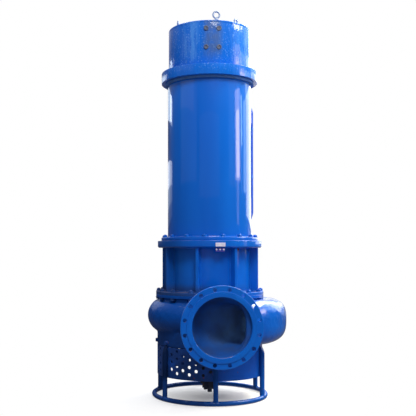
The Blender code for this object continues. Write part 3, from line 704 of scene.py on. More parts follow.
@dataclass(frozen=True)
class Fastener:
    """A hexagon head or nut on its washer, with a stud end where it has one."""

    flats: float
    height: float
    washer: float
    washer_height: float = 0.003
    stud: float = 0.0
    stud_length: float = 0.0

    def grid(self) -> Array:
        """Builds the head on its local z axis.

        Twelve columns meet the hexagon's corners and the middles of its sides: its radius is
        apothem / cos(angle from the nearest side's middle). Rows go up the outside; the head's top and the
        stud's end are chamfered.

        Returns:
            A (rows, 12, 3) grid.
        """
        apothem = self.flats / 2.0
        lift = self.washer_height
        top = lift + self.height
        tip = top + self.stud_length
        rows = [(0.0, 0.0, 0), (self.washer, 0.0, 0), (self.washer, lift, 0), (apothem, lift, 1)]
        rows += [(apothem, top - 0.15 * self.height, 1), (apothem * 0.94, top, 0)]
        if self.stud:
            rows += [(self.stud, top, 0), (self.stud, tip - 0.002, 0), (self.stud * 0.8, tip, 0)]
        rows.append((0.0, tip, 0))
        radius, height, hexagon = (np.array(column)[:, None] for column in zip(*rows))
        angle = np.arange(12) * np.pi / 6.0
        wide = 1.0 / np.cos((angle + np.pi / 6.0) % (np.pi / 3.0) - np.pi / 6.0)
        reach = radius * np.where(hexagon == 1, wide, 1.0)
        return np.stack([reach * np.cos(angle), reach * np.sin(angle), height + 0.0 * angle], -1)

    def ring(self, count: int, first: float, radius: float, height: float, facing: float = 1.0) -> Array:
        """Sets copies out round the pump axis, looking up (1) or down (-1)."""
        azimuth = evenly(count, first)
        return set_out(self.grid(), around(azimuth, radius, height), UP * facing, outward(azimuth))

    def looking_out(self, azimuth: Array, radius: float, height: float) -> Array:
        """Sets copies out round the pump axis, looking away from it."""
        return set_out(self.grid(), around(azimuth, radius, height), outward(azimuth), UP)


FLANGE_NUT = Fastener(0.030, 0.014, 0.0185, stud=0.009, stud_length=0.004)


# Sub-assemblies


@dataclass
class Stand:
    """The ring of pipe on the floor, its six legs and their welds."""

    ring_radius: float = 0.4175
    pipe_radius: float = 0.017
    lift: float = 0.0001
    leg_distance: float = 0.4123
    leg_radius: float = 0.018
    slant: float = 2.0
    skirt_bottom: float = 0.169
    skirt_radius: float = 0.394
    weld_spread: float = 1.15
    weld_top: float = 0.012
    weld_size: float = 0.004
    foot_weld_size: float = 0.0042
    short_leg: Span = (-2.5, 0.372)
    leg_azimuths: tuple[float, ...] = (60.0, 112.0, 180.0, 240.0, 300.0)
    leg_top: float = 0.412

    def leg(self, azimuth: float, top: float) -> Array:
        """Builds a pipe leg whose top is cut on a slant.

        Rows rise from the ring to the cut, whose height falls with the distance from the pump axis, and
        then close over it.

        Args:
            azimuth: degrees.
            top: height of the cut's inner side.

        Returns:
            A (rows, columns, 3) grid.
        """
        section = circle(self.leg_radius, SMALL_STEPS)
        share = np.array([0.0, 0.9, 1.0, 1.0, 1.0, 0.92, 0.0])[:, None]
        rise = np.array([0.0, 0.0, 0.06, 0.5, 0.985, 1.0, 1.0])[:, None]
        out = section[:, 0] * share
        cut = top - self.slant * (out + self.leg_radius)
        level = self.pipe_radius + (cut - self.pipe_radius) * rise
        return stood(azimuth, around(azimuth, self.leg_distance, 0.0), out, section[:, 1] * share, level)

    def foot_weld(self, azimuth: float) -> Array:
        """Lays the weld round a leg's foot.

        The weld rides over the pipe like a saddle: its height is root(radius^2 - away^2) over the pipe's
        middle.

        Args:
            azimuth: degrees.

        Returns:
            A (rows, columns, 3) grid.
        """
        section = circle(self.leg_radius + WELD_STAND, SMALL_STEPS)
        away = self.leg_distance + section[:, 0] - self.ring_radius
        level = self.pipe_radius + np.sqrt(np.maximum(self.pipe_radius**2 - away**2, 0.0))
        path = around(azimuth, self.leg_distance + section[:, 0], level) + section[:, 1:] * sideways(azimuth)
        return bead(path, self.foot_weld_size, True)

    def side_weld(self, azimuth: float, top: float, side: float) -> Array:
        """Lays the upright weld between the skirt and one side of a leg.

        Args:
            azimuth: the leg's, in degrees.
            top: height of the leg.
            side: -1 for the left side, 1 for the right.

        Returns:
            A (rows, columns, 3) grid.
        """
        height = np.arange(self.skirt_bottom, top - self.weld_top, WELD_STEP)
        path = around(azimuth + side * self.weld_spread, self.skirt_radius + 2.0 * WELD_STAND, height)
        return bead(path, self.weld_size, upright=outward(azimuth))

    def build(self) -> None:
        """Builds the ring, the legs and the welds."""
        path = around(evenly(WIDE_STEPS), self.ring_radius, self.pipe_radius + self.lift)
        ring = swept(path, circle(self.pipe_radius, SMALL_STEPS), True)
        Piece("stand_ring", STAND_ENAMEL, Slot.ENAMEL, ("base_ring",)).add(ring, wrap_rows=True).build()
        welds = Piece("stand_welds", STAND_ENAMEL, Slot.ENAMEL)
        legs = [self.short_leg] + [(azimuth, self.leg_top) for azimuth in self.leg_azimuths]
        for number, (azimuth, top) in enumerate(legs, start=1):
            leg = Piece(f"stand_leg_{number}", STAND_ENAMEL, Slot.ENAMEL, (f"leg_{number}",))
            leg.add(self.leg(azimuth, top)).build()
            welds.add(self.foot_weld(azimuth), wrap_rows=True)
            welds.add(self.side_weld(azimuth, top, -1.0), self.side_weld(azimuth, top, 1.0))
        welds.build()


@dataclass
class StrainerSkirt:
    """The rolled skirt with its drilled holes, open at the bottom."""

    radius: float = 0.394
    wall: float = 0.006
    bottom: float = 0.169
    top: float = 0.3885
    pitch: float = 0.052
    rows: int = 4
    first_height: float = 0.210
    first_azimuth: float = 90.0
    last_azimuth: float = 352.5
    column_step: float = 7.5
    hole_radius: float = 0.0118
    hem_edge: float = 0.0015

    def sheet(self, plan: Array, inner: Array | bool) -> Array:
        """Rolls (azimuth, height) points into the skirt: the inner ones lie a wall's thickness further in."""
        radius = np.where(inner, self.radius - self.wall, self.radius)
        return around(plan[..., 0], radius, np.minimum(plan[..., 1], self.top))

    def centres(self) -> Array:
        """Places the holes: every second column has one less and stands half a pitch higher.

        Returns:
            (holes, 2) middles, each an azimuth and a height.
        """
        columns = np.arange(self.first_azimuth, self.last_azimuth + 1.0, self.column_step)
        row = np.arange(self.rows)
        even = np.stack(np.meshgrid(columns[::2], self.first_height + self.pitch * row), -1)
        odd = np.stack(np.meshgrid(columns[1::2], self.first_height + self.pitch * (row[:-1] + 0.5)), -1)
        return np.concatenate([even.reshape(-1, 2), odd.reshape(-1, 2)])

    def plain(self, left: float, right: float, low: float, high: float) -> Array:
        """Lays a plain patch whose points meet the cells' points.

        Args:
            left: azimuth of its first side.
            right: azimuth of its last side.
            low: bottom.
            high: top.

        Returns:
            A grid of (azimuth, height).
        """
        across = np.linspace(left, right, round((right - left) / self.column_step * CELL_STEPS) + 1)
        up = np.linspace(low, high, round((high - low) / self.pitch * CELL_STEPS) + 1)
        return np.stack(np.meshgrid(across, up), -1)

    def patches(self, low: float, high: float) -> list[Array]:
        """Returns the plain patches: the undrilled side, and half a cell over and under each odd column.

        Args:
            low: bottom of the drilled band.
            high: its top.

        Returns:
            (azimuth, height) grids.
        """
        half = self.column_step / 2.0
        found = [self.plain(self.last_azimuth + half - 360.0, self.first_azimuth - half, low, high)]
        odd = np.arange(self.first_azimuth, self.last_azimuth, self.column_step)[1::2]
        for azimuth in (*odd, self.last_azimuth):
            for start in (low, high - self.pitch / 2.0):
                found.append(self.plain(azimuth - half, azimuth + half, start, start + self.pitch / 2.0))
        return found

    def build(self) -> None:
        """Builds the skirt as one closed sheet of metal."""
        piece = Piece("drilled_skirt", SKIRT_ENAMEL, Slot.DARK, ("strainer_skirt",), crease=50.0)
        arc = math.degrees(self.hole_radius / self.radius)
        inner = (np.arange(6) > 2)[:, None]
        cells = pierced(self.centres(), (self.column_step / 2.0, self.pitch / 2.0), (arc, self.hole_radius))
        piece.add(self.sheet(cells, inner))
        low = self.first_height - self.pitch / 2.0
        for patch in self.patches(low, low + self.rows * self.pitch):
            piece.add(self.sheet(patch, False), self.sheet(patch, True), wrap_columns=False)
        outer = self.radius
        bore = self.radius - self.wall
        hem = rounded([(outer, low), (outer, self.bottom), (bore, self.bottom), (bore, low)], self.hem_edge)
        lip = np.array([(outer, self.top), (bore, self.top)])
        steps = round(360.0 / self.column_step * CELL_STEPS)
        piece.add(turned(hem, steps), turned(lip, steps)).build()


@dataclass
class SuctionCover:
    """The cover under the casing with its turned-down suction lip."""

    radius: float = 0.240
    top: float = 0.4697
    bottom: float = 0.440
    bore: float = 0.140
    lip_radius: float = 0.165
    lip_bottom: float = 0.405
    screw: Fastener = Fastener(0.024, 0.012, 0.016, 0.002)
    screws: int = 8
    first_screw: float = 22.5
    screw_circle: float = 0.208

    def build(self) -> None:
        """Builds the cover and its cap screws."""
        corners = [(self.radius, self.bottom), (self.radius, self.top)]
        corners += [(self.bore, self.top), (self.bore, self.lip_bottom)]
        corners += [(self.lip_radius, self.lip_bottom), (self.lip_radius, self.bottom)]
        profile = rounded(corners, [0.003, 0.002, 0.008, 0.005, 0.005, 0.010], closed=True)
        piece = Piece("suction_plate", CAST_ENAMEL, Slot.CAST, ("suction_cover",))
        piece.add(turned(profile), wrap_rows=True).build()
        screws = self.screw.ring(self.screws, self.first_screw, self.screw_circle, self.bottom, -1.0)
        Piece("suction_screws", FORGED_STEEL, Slot.STEEL).add(screws).build()


@dataclass
class Volute:
    """The cast scroll casing, hollow from the impeller chamber to the discharge."""

    start_azimuth: float = -25.0
    sweep: float = 290.0
    top: float = 0.738
    distances: Span = (0.304, 0.433)
    radii: Span = (0.126, 0.160)
    squareness: float = 0.9
    wall: float = 0.022
    mouth: float = 0.03
    neck_end: tuple[float, float, float] = (-0.011, -0.6257, 0.573)
    neck_radius: float = 0.2245
    neck_reach: float = 0.42
    scroll_steps: int = 72
    neck_steps: int = 40
    flange_thickness: float = 0.034
    drum_radius: float = 0.385
    drum: Span = (0.470, 0.743)
    floor: float = 0.490
    chamber_radius: float = 0.280
    chamber_cut: float = 0.80
    lined_radius: float = 0.284
    lined: Span = (0.460, 0.741)
    inlet_radius: float = 0.200
    inlet_cut: Span = (0.42, 0.50)
    seat_radius: float = 0.394
    seat: Span = (0.3888, 0.500)
    seat_wall: float = 0.018
    voxel: float = 0.0065
    inset: float = 0.003
    section_spacing: float = 0.030
    bolts: int = 16
    first_bolt: float = -28.8
    bolt: Fastener = Fastener(0.032, 0.014, 0.020)
    bolt_circle: float = 0.388
    pocket_size: Span = (0.068, 0.052)
    pocket_circle: float = 0.395
    pocket_bottom: float = 0.716
    pocket_depth: float = 0.045
    pocket_edge: float = 0.010
    stud: Fastener = Fastener(0.026, 0.013, 0.017)
    studs: int = 12
    stud_height: float = 0.421

    def inside(self, mesh: bpy.types.Mesh) -> Array:
        """Finds the faces that line the casing's inside.

        A face lines it when, in the plane of one of the passage's sections, its superellipse radius is less
        than the section's by half a wall, or when it is within the impeller chamber.

        Args:
            mesh: the finished casing.

        Returns:
            One bool for each face.
        """
        middle = np.empty(len(mesh.polygons) * 3, np.float32)
        mesh.polygons.foreach_get("center", middle)
        middle = middle.reshape(-1, 3)
        centre, ahead, radius, square = self.sections()
        offset = middle[:, None] - centre[None].astype(np.float32)
        along = np.einsum("fsk,sk->fs", offset, ahead)
        across = np.einsum("fsk,sk->fs", offset, np.cross(ahead, UP))
        reach = (np.abs(across) ** square + np.abs(offset[..., 2]) ** square) ** (1.0 / square)
        lining = ((reach < radius - self.wall / 2.0) & (np.abs(along) < self.section_spacing)).any(1)
        away = np.linalg.norm(middle[:, :2] - AXIS[:2], axis=1)
        level = (middle[:, 2] > self.lined[0]) & (middle[:, 2] < self.lined[1])
        return lining | (level & (away < self.lined_radius))

    def sections(self, first: float = 0.0, past: float = 0.0) -> tuple[Array, Array, Array, Array]:
        """Finds the sections of the scroll and the neck.

        The scroll's middle moves out and its radius grows evenly as it winds round the axis; a cubic curve
        then leads the neck to the flange, and the radius eases to the bore's.

        Args:
            first: share of the scroll where the sections start.
            past: metres by which they run on through the flange.

        Returns:
            For each section its middle, its direction, its radius and its superellipse power.
        """
        share = np.linspace(first, 1.0, self.scroll_steps)
        azimuth = self.start_azimuth - self.sweep * share
        radius = self.radii[0] + (self.radii[1] - self.radii[0]) * share
        distance = self.distances[0] + (self.distances[1] - self.distances[0]) * share
        centre = around(azimuth, distance, self.top - radius)
        ahead = np.cross(outward(azimuth), UP)
        square = 2.0 + self.squareness * np.maximum(0.0, 1.5 * share - 0.4)
        end = AXIS + np.array(self.neck_end) - np.array([0.0, past, 0.0])
        reach = np.linalg.norm(end - centre[-1]) * self.neck_reach
        knots = np.stack([centre[-1], centre[-1] + ahead[-1] * reach, end + np.array([0.0, reach, 0.0]), end])
        along = np.linspace(0.0, 1.0, self.neck_steps)[1:, None]
        rest = 1.0 - along
        weights = [rest**3, 3 * rest**2 * along, 3 * rest * along**2, along**3]
        slopes = [-(rest**2), rest**2 - 2 * rest * along, 2 * rest * along - along**2, along**2]
        turn = (np.concatenate(slopes, 1) @ knots) * np.array([1.0, 1.0, 0.0])
        flare = np.maximum(0.0, along[:, 0] * 2.0 - 1.0)
        ease = flare**2 * (3.0 - 2.0 * flare)
        centre = np.concatenate([centre, np.concatenate(weights, 1) @ knots])
        ahead = np.concatenate([ahead, unit(turn)])
        radius = np.concatenate([radius, radius[-1] + (self.neck_radius - radius[-1]) * ease])
        square = np.concatenate([square, square[-1] + (2.0 - square[-1]) * ease])
        return centre, ahead, radius, square

    def passage(self, first: float, thinner: float, past: float = 0.0) -> Array:
        """Builds the scroll and the neck as one tube.

        Each section is a superellipse |a|^n + |b|^n = r^n that stands across the path.

        Args:
            first: share of the scroll where the tube starts.
            thinner: metres taken off the radius.
            past: metres by which the tube runs on through the flange.

        Returns:
            A (rows, columns, 3) grid with its ends closed.
        """
        centre, ahead, radius, square = self.sections(first, past)
        power = 2.0 / square[:, None]
        angle = np.arange(MIDDLE_STEPS) * 2.0 * np.pi / MIDDLE_STEPS
        across, height = (
            np.sign(wave) * np.abs(wave) ** power * (radius - thinner)[:, None]
            for wave in (np.cos(angle), np.sin(angle))
        )
        side = np.cross(ahead, UP)
        return capped(centre[:, None] + across[..., None] * side[:, None] + height[..., None] * UP)

    def solid(self, name: str, grid: Array, wrap_rows: bool = False) -> bpy.types.Object:
        """Makes a plain object, to be joined or cut with the casing.

        Args:
            name: the object's name.
            grid: its points.
            wrap_rows: True joins the last row to the first.

        Returns:
            The object.
        """
        mesh = Piece(name, CAST_ENAMEL, Slot.CAST).add(grid, wrap_rows=wrap_rows).mesh()
        item = bpy.data.objects.new(name, mesh)
        bpy.context.scene.collection.objects.link(item)
        return item

    def disc(self, name: str, radius: float, bottom: float, top: float) -> bpy.types.Object:
        """Makes a plain turned disc."""
        profile = np.array([(0.0, bottom), (radius, bottom), (radius, top), (0.0, top)])
        return self.solid(name, turned(profile))

    def pockets(self) -> bpy.types.Object:
        """Makes the pockets over the bolts under the casing flange, each a rounded block.

        Returns:
            One object.
        """
        plan = oblong(*self.pocket_size, self.pocket_edge)
        level = np.array([0.0, self.pocket_depth])[:, None, None]
        both = (2, len(plan))
        block = np.concatenate([np.broadcast_to(plan, (*both, 2)), np.broadcast_to(level, (*both, 1))], 2)
        azimuth = evenly(self.bolts, self.first_bolt)
        places = around(azimuth, self.pocket_circle, self.pocket_bottom)
        return self.solid("pocket_cutter", set_out(capped(block), places, UP, outward(azimuth)))

    def cast(self) -> bpy.types.Mesh:
        """Joins scroll, drum and seat ring, cuts the passages, then rounds all edges as a casting's are.

        Returns:
            The casing's mesh.
        """
        casing = self.solid("scroll_solid", self.passage(0.0, self.inset))
        seat = ring_section(self.seat_radius, self.seat_radius - self.seat_wall, *self.seat, 0.0)
        bore = self.passage(self.mouth, self.wall, self.flange_thickness)
        steps = [
            ("UNION", self.disc("drum_solid", self.drum_radius, *self.drum)),
            ("UNION", self.solid("seat_solid", turned(seat), wrap_rows=True)),
            ("DIFFERENCE", self.solid("passage_cutter", bore)),
            ("DIFFERENCE", self.disc("chamber_cutter", self.chamber_radius, self.floor, self.chamber_cut)),
            ("DIFFERENCE", self.disc("inlet_cutter", self.inlet_radius, *self.inlet_cut)),
            ("DIFFERENCE", self.pockets()),
        ]
        for operation, other in steps:
            cut = casing.modifiers.new(other.name, "BOOLEAN")
            cut.operation = operation
            cut.object = other
            cut.solver = "EXACT"
        remesh = casing.modifiers.new("skin", "REMESH")
        remesh.mode = "VOXEL"
        remesh.voxel_size = self.voxel
        ease = casing.modifiers.new("ease", "SMOOTH")
        ease.factor = 0.5
        ease.iterations = 8
        graph = bpy.context.evaluated_depsgraph_get()
        mesh = bpy.data.meshes.new_from_object(casing.evaluated_get(graph))
        for item in [casing] + [other for _, other in steps]:
            bpy.data.objects.remove(item)
        return mesh

    def build(self) -> None:
        """Builds the casting, the bolts under its flange and the skirt's studs."""
        mesh = self.cast()
        casing = Piece("cast_volute", CAST_ENAMEL, Slot.CAST, ("volute_casing",), crease=60.0)
        casing.build(mesh, self.inside(mesh))
        heads = self.bolt.ring(self.bolts, self.first_bolt, self.bolt_circle, OilChamber.cover[0], -1.0)
        Piece("casing_bolts", PLATE_ENAMEL, Slot.ENAMEL).add(heads).build()
        studs = self.stud.looking_out(evenly(self.studs), self.seat_radius - 0.001, self.stud_height)
        Piece("skirt_bolts", SKIRT_ENAMEL, Slot.ENAMEL).add(studs).build()


@dataclass
class DischargeFlange:
    """The drilled front flange with its raised face."""

    middle: Span = (-0.011, 0.573)
    face: float = 0.660
    thickness: float = 0.034
    radius: float = 0.2825
    bore: float = 0.2042
    raised_radius: float = 0.241
    raised_height: float = 0.0055
    bolt_circle: float = 0.2575
    hole_radius: float = 0.014
    holes: int = 16
    band: float = 0.0158
    weld_radius: float = 0.2265
    weld_depth: float = 0.003
    weld_size: float = 0.006
    weld_steps: int = 288

    def upright(self, plan: Array) -> Array:
        """Stands points up as the flange: middle + radius (cos a, sin a), at the depth.

        Args:
            plan: (radius, angle in degrees, depth behind the face) points.

        Returns:
            Points in the pump's frame.
        """
        angle = np.radians(plan[..., 1])
        across = self.middle[0] + plan[..., 0] * np.cos(angle)
        height = self.middle[1] + plan[..., 0] * np.sin(angle)
        return AXIS + np.stack([across, plan[..., 2] - self.face, height], -1)

    def lathed(self, corners: list[Span], edges: list[float]) -> Array:
        """Turns a rounded profile round the flange's own axis, in steps that meet the drilled cells.

        Args:
            corners: (radius, depth) points.
            edges: the radius of each corner.

        Returns:
            A (rows, columns, 3) grid.
        """
        profile = rounded(corners, edges)
        steps = self.holes * CELL_STEPS
        angle = np.broadcast_to(evenly(steps), (len(profile), steps))
        radius, depth = (np.broadcast_to(profile[:, i : i + 1], angle.shape) for i in (0, 1))
        return self.upright(np.stack([radius, angle, depth], -1))

    def drilled(self) -> Array:
        """Builds the band of drilled cells, from the front through each hole to the back.

        Returns:
            A (cells, rows, columns, 3) grid.
        """
        step = 360.0 / self.holes
        centres = np.stack([np.full(self.holes, self.bolt_circle), step * (np.arange(self.holes) + 0.5)], -1)
        hole = (self.hole_radius, math.degrees(self.hole_radius / self.bolt_circle))
        cells = pierced(centres, (self.band, step / 2.0), hole)
        depth = np.where(np.arange(6) > 2, self.thickness, self.raised_height)[:, None]
        depth = np.broadcast_to(depth, cells.shape[:-1])[..., None]
        return self.upright(np.concatenate([cells, depth], -1))

    def build(self) -> None:
        """Builds the flange, and the weld that joins it to the neck."""
        front, back = self.raised_height, self.thickness
        low, high = self.bolt_circle - self.band, self.bolt_circle + self.band
        rim = [(high, front), (self.radius, front), (self.radius, back), (high, back)]
        inside = [(low, back), (self.bore, back), (self.bore, 0.0), (self.raised_radius, 0.0)]
        inside += [(self.raised_radius, front), (low, front)]
        piece = Piece("drilled_flange", PLATE_ENAMEL, Slot.CAST, ("discharge_flange",), crease=40.0)
        piece.add(self.drilled(), self.lathed(rim, [0.0, 0.004, 0.004, 0.0]))
        piece.add(self.lathed(inside, [0.0, 0.002, 0.003, 0.0012, 0.0006, 0.0])).build()
        angle = evenly(self.weld_steps)
        even = np.ones_like(angle)
        ring = np.stack([even * self.weld_radius, angle, even * (back + self.weld_depth)], -1)
        weld = bead(self.upright(ring), self.weld_size, True, upright=np.array([0.0, 1.0, 0.0]))
        Piece("flange_weld", CAST_ENAMEL, Slot.CAST).add(weld, wrap_rows=True).build()


@dataclass
class OilChamber:
    """The ribbed chamber between casing and motor, with the flanges at its foot and head."""

    flange_radius: float = 0.404
    flange_edge: float = 0.0025
    cover: Span = (0.7433, 0.766)
    foot: Span = (0.7663, 0.788)
    foot_bore: float = 0.200
    core_radius: float = 0.310
    core_wall: float = 0.025
    core: Span = (0.7883, 1.1107)
    rib_radius: float = 0.371
    rib_thickness: float = 0.022
    rib_edge: float = 0.004
    root_weld_size: float = 0.0055
    foot_weld_size: float = 0.0045
    ring_weld_size: float = 0.006
    head: Span = (1.111, 1.162)
    head_radius: float = 0.391
    head_bore: float = 0.285
    head_chamfer: float = 0.008
    ribs: int = 8
    first_rib: float = 22.5
    nuts: int = 16
    first_nut: float = -28.8
    nut_circle: float = 0.384
    plug: Fastener = Fastener(0.019, 0.012, 0.013, 0.004)
    plug_azimuth: float = 31.0
    plug_height: float = 1.097

    def rib(self, azimuth: float) -> Array:
        """Builds a rib: a rounded upright plate whose section runs from inside the core to its free edge.

        Args:
            azimuth: degrees.

        Returns:
            A (rows, columns, 3) grid with its ends closed.
        """
        inner, half = self.core_radius - self.rib_edge, self.rib_thickness / 2.0
        corners = [(inner, -half), (self.rib_radius, -half), (self.rib_radius, half), (inner, half)]
        out, aside = rounded(corners, [0.0, self.rib_edge, self.rib_edge, 0.0]).T
        return capped(stood(azimuth, AXIS, out, aside, np.linspace(*self.core, 9)[:, None]))

    def rib_welds(self, azimuth: float) -> list[Array]:
        """Lays a rib's welds: up both sides of its root, and along its foot on both sides.

        Args:
            azimuth: degrees.

        Returns:
            Four grids.
        """
        lift = 2.0 * WELD_STAND
        spread = math.degrees((self.rib_thickness / 2.0 + lift) / self.core_radius)
        low, high = self.core
        height = np.arange(low + self.rib_edge, high - lift, WELD_STEP)
        reach = np.arange(self.core_radius, self.rib_radius - self.rib_edge, WELD_STEP)
        laid = []
        for side in (-1.0, 1.0):
            root = around(azimuth + side * spread, self.core_radius + lift, height)
            laid.append(bead(root, self.root_weld_size, upright=outward(azimuth)))
            aside = sideways(azimuth) * side * (self.rib_thickness / 2.0 + WELD_STAND)
            laid.append(bead(around(azimuth, reach, low + lift) + aside, self.foot_weld_size))
        return laid

    def flanges(self) -> None:
        """Builds the casing's lid, the foot flange, the core and the head flange."""
        edge = self.flange_edge
        lid = (self.flange_radius, SHAFT_BORE)
        foot = (self.flange_radius, self.foot_bore)
        shell = (self.core_radius, self.core_radius - self.core_wall)
        build_ring("casing_lid", CAST_ENAMEL, Slot.CAST, "casing_cover", lid, self.cover, edge)
        build_ring("foot_flange", PLATE_ENAMEL, Slot.CAST, "frame_foot_flange", foot, self.foot, edge)
        build_ring("chamber_shell", PLATE_ENAMEL, Slot.ENAMEL, "oil_chamber", shell, self.core, 0.001)
        low, high = self.head
        corners = [(self.head_radius - self.head_chamfer, low), (self.head_radius, low + self.head_chamfer)]
        corners += [(self.head_radius, high), (self.head_bore, high), (self.head_bore, low)]
        ring = turned(rounded(corners, [0.002, 0.003, 0.003, 0.001, 0.001], closed=True))
        head = Piece("head_flange", PLATE_ENAMEL, Slot.CAST, ("frame_head_flange",))
        head.add(ring, wrap_rows=True).build()

    def build(self) -> None:
        """Builds flanges, core, ribs, welds and nuts."""
        self.flanges()
        welds = Piece("chamber_welds", PLATE_ENAMEL, Slot.ENAMEL)
        for number, azimuth in enumerate(evenly(self.ribs, self.first_rib), start=1):
            rib = Piece(f"chamber_rib_{number}", PLATE_ENAMEL, Slot.ENAMEL, (f"rib_{number}",))
            rib.add(self.rib(azimuth)).build()
            welds.add(*self.rib_welds(azimuth))
        for height in (self.core[0] + 2.0 * WELD_STAND, self.core[1] - 3.0 * WELD_STAND):
            ring = ring_bead(self.core_radius + 2.0 * WELD_STAND, height, self.ring_weld_size)
            welds.add(ring, wrap_rows=True)
        welds.build()
        nuts = FLANGE_NUT.ring(self.nuts, self.first_nut, self.nut_circle, self.foot[1])
        Piece("foot_nuts", PLATE_ENAMEL, Slot.ENAMEL).add(nuts).build()
        plug = self.plug.looking_out(np.array([self.plug_azimuth]), self.core_radius, self.plug_height)
        Piece("oil_plug", RUSTY_STEEL, Slot.STEEL).add(plug).build()


@dataclass
class Motor:
    """The motor housing with its foot flange, conduit, head ring and collar."""

    foot: Span = (1.1623, 1.188)
    foot_radius: float = 0.364
    radius: float = 0.315
    wall: float = 0.020
    body: Span = (1.1883, 2.335)
    ring: Span = (2.3353, 2.352)
    ring_radius: float = 0.335
    collar: Span = (2.3523, 2.430)
    collar_radius: float = 0.362
    opening: float = 0.200
    weld_size: float = 0.005
    nuts: int = 16
    first_nut: float = 8.0
    nut_circle: float = 0.344
    conduit_azimuth: float = 103.0
    conduit_radius: float = 0.0235
    conduit: Span = (1.312, 2.227)
    taper: float = 0.070
    slim: float = 0.45
    clamp_heights: Span = (1.657, 2.025)
    clamp_half: float = 0.011
    clamp_thickness: float = 0.0018

    def conduit_grid(self) -> Array:
        """Builds the pipe up the side: it swells from its slim ends and always touches the housing.

        Returns:
            A (rows, columns, 3) grid with its ends closed.
        """
        low, high = self.conduit
        height = np.linspace(low, high, 90)
        near = np.minimum(height - low, high - height) / self.taper
        radius = self.conduit_radius * (self.slim + (1.0 - self.slim) * np.clip(near, 0.0, 1.0) ** 0.8)
        path = around(self.conduit_azimuth, self.radius + radius, height)
        section = circle(1.0, SMALL_STEPS)[None] * radius[:, None, None]
        return capped(swept(path, section, upright=outward(self.conduit_azimuth)))

    def clamps(self) -> Array:
        """Builds the saddle clamps: short sleeves round the conduit.

        Returns:
            A (clamps, rows, columns, 3) grid.
        """
        radius = self.conduit_radius + self.clamp_thickness * np.array([0.0, 1.0, 1.0, 0.0])
        face = self.clamp_half - 0.001
        sleeve = lathed(np.stack([radius, np.array([-self.clamp_half, -face, face, self.clamp_half])], -1))
        middle = around(self.conduit_azimuth, self.radius + self.conduit_radius, 0.0)
        places = middle + np.array(self.clamp_heights)[:, None] * UP
        return set_out(sleeve, places, UP, outward(self.conduit_azimuth))

    def build(self) -> None:
        """Builds the motor from its foot flange to the collar."""
        foot = (self.foot_radius, SHAFT_BORE)
        shell = (self.radius, self.radius - self.wall)
        neck = (self.ring_radius, self.opening)
        collar = (self.collar_radius, self.opening)
        build_ring("motor_foot", PLATE_ENAMEL, Slot.CAST, "motor_flange", foot, self.foot, 0.003)
        build_ring("motor_shell", ROLLED_ENAMEL, Slot.ENAMEL, "motor_housing", shell, self.body, 0.001)
        build_ring("neck_ring", INNER_ENAMEL, Slot.ENAMEL, "head_ring", neck, self.ring, 0.002)
        build_ring("motor_collar", BRUSHED_ENAMEL, Slot.CAST, "collar", collar, self.collar, 0.002)
        Piece("conduit_pipe", CONDUIT_PAINT, Slot.ENAMEL, ("side_conduit",)).add(self.conduit_grid()).build()
        Piece("conduit_clamps", PLATE_ENAMEL, Slot.ENAMEL).add(self.clamps()).build()
        weld = ring_bead(self.radius + WELD_STAND, self.foot[1] + 2.0 * WELD_STAND, self.weld_size)
        Piece("motor_welds", PLATE_ENAMEL, Slot.ENAMEL).add(weld, wrap_rows=True).build()
        nuts = FLANGE_NUT.ring(self.nuts, self.first_nut, self.nut_circle, self.foot[1])
        Piece("motor_nuts", PLATE_ENAMEL, Slot.ENAMEL).add(nuts).build()


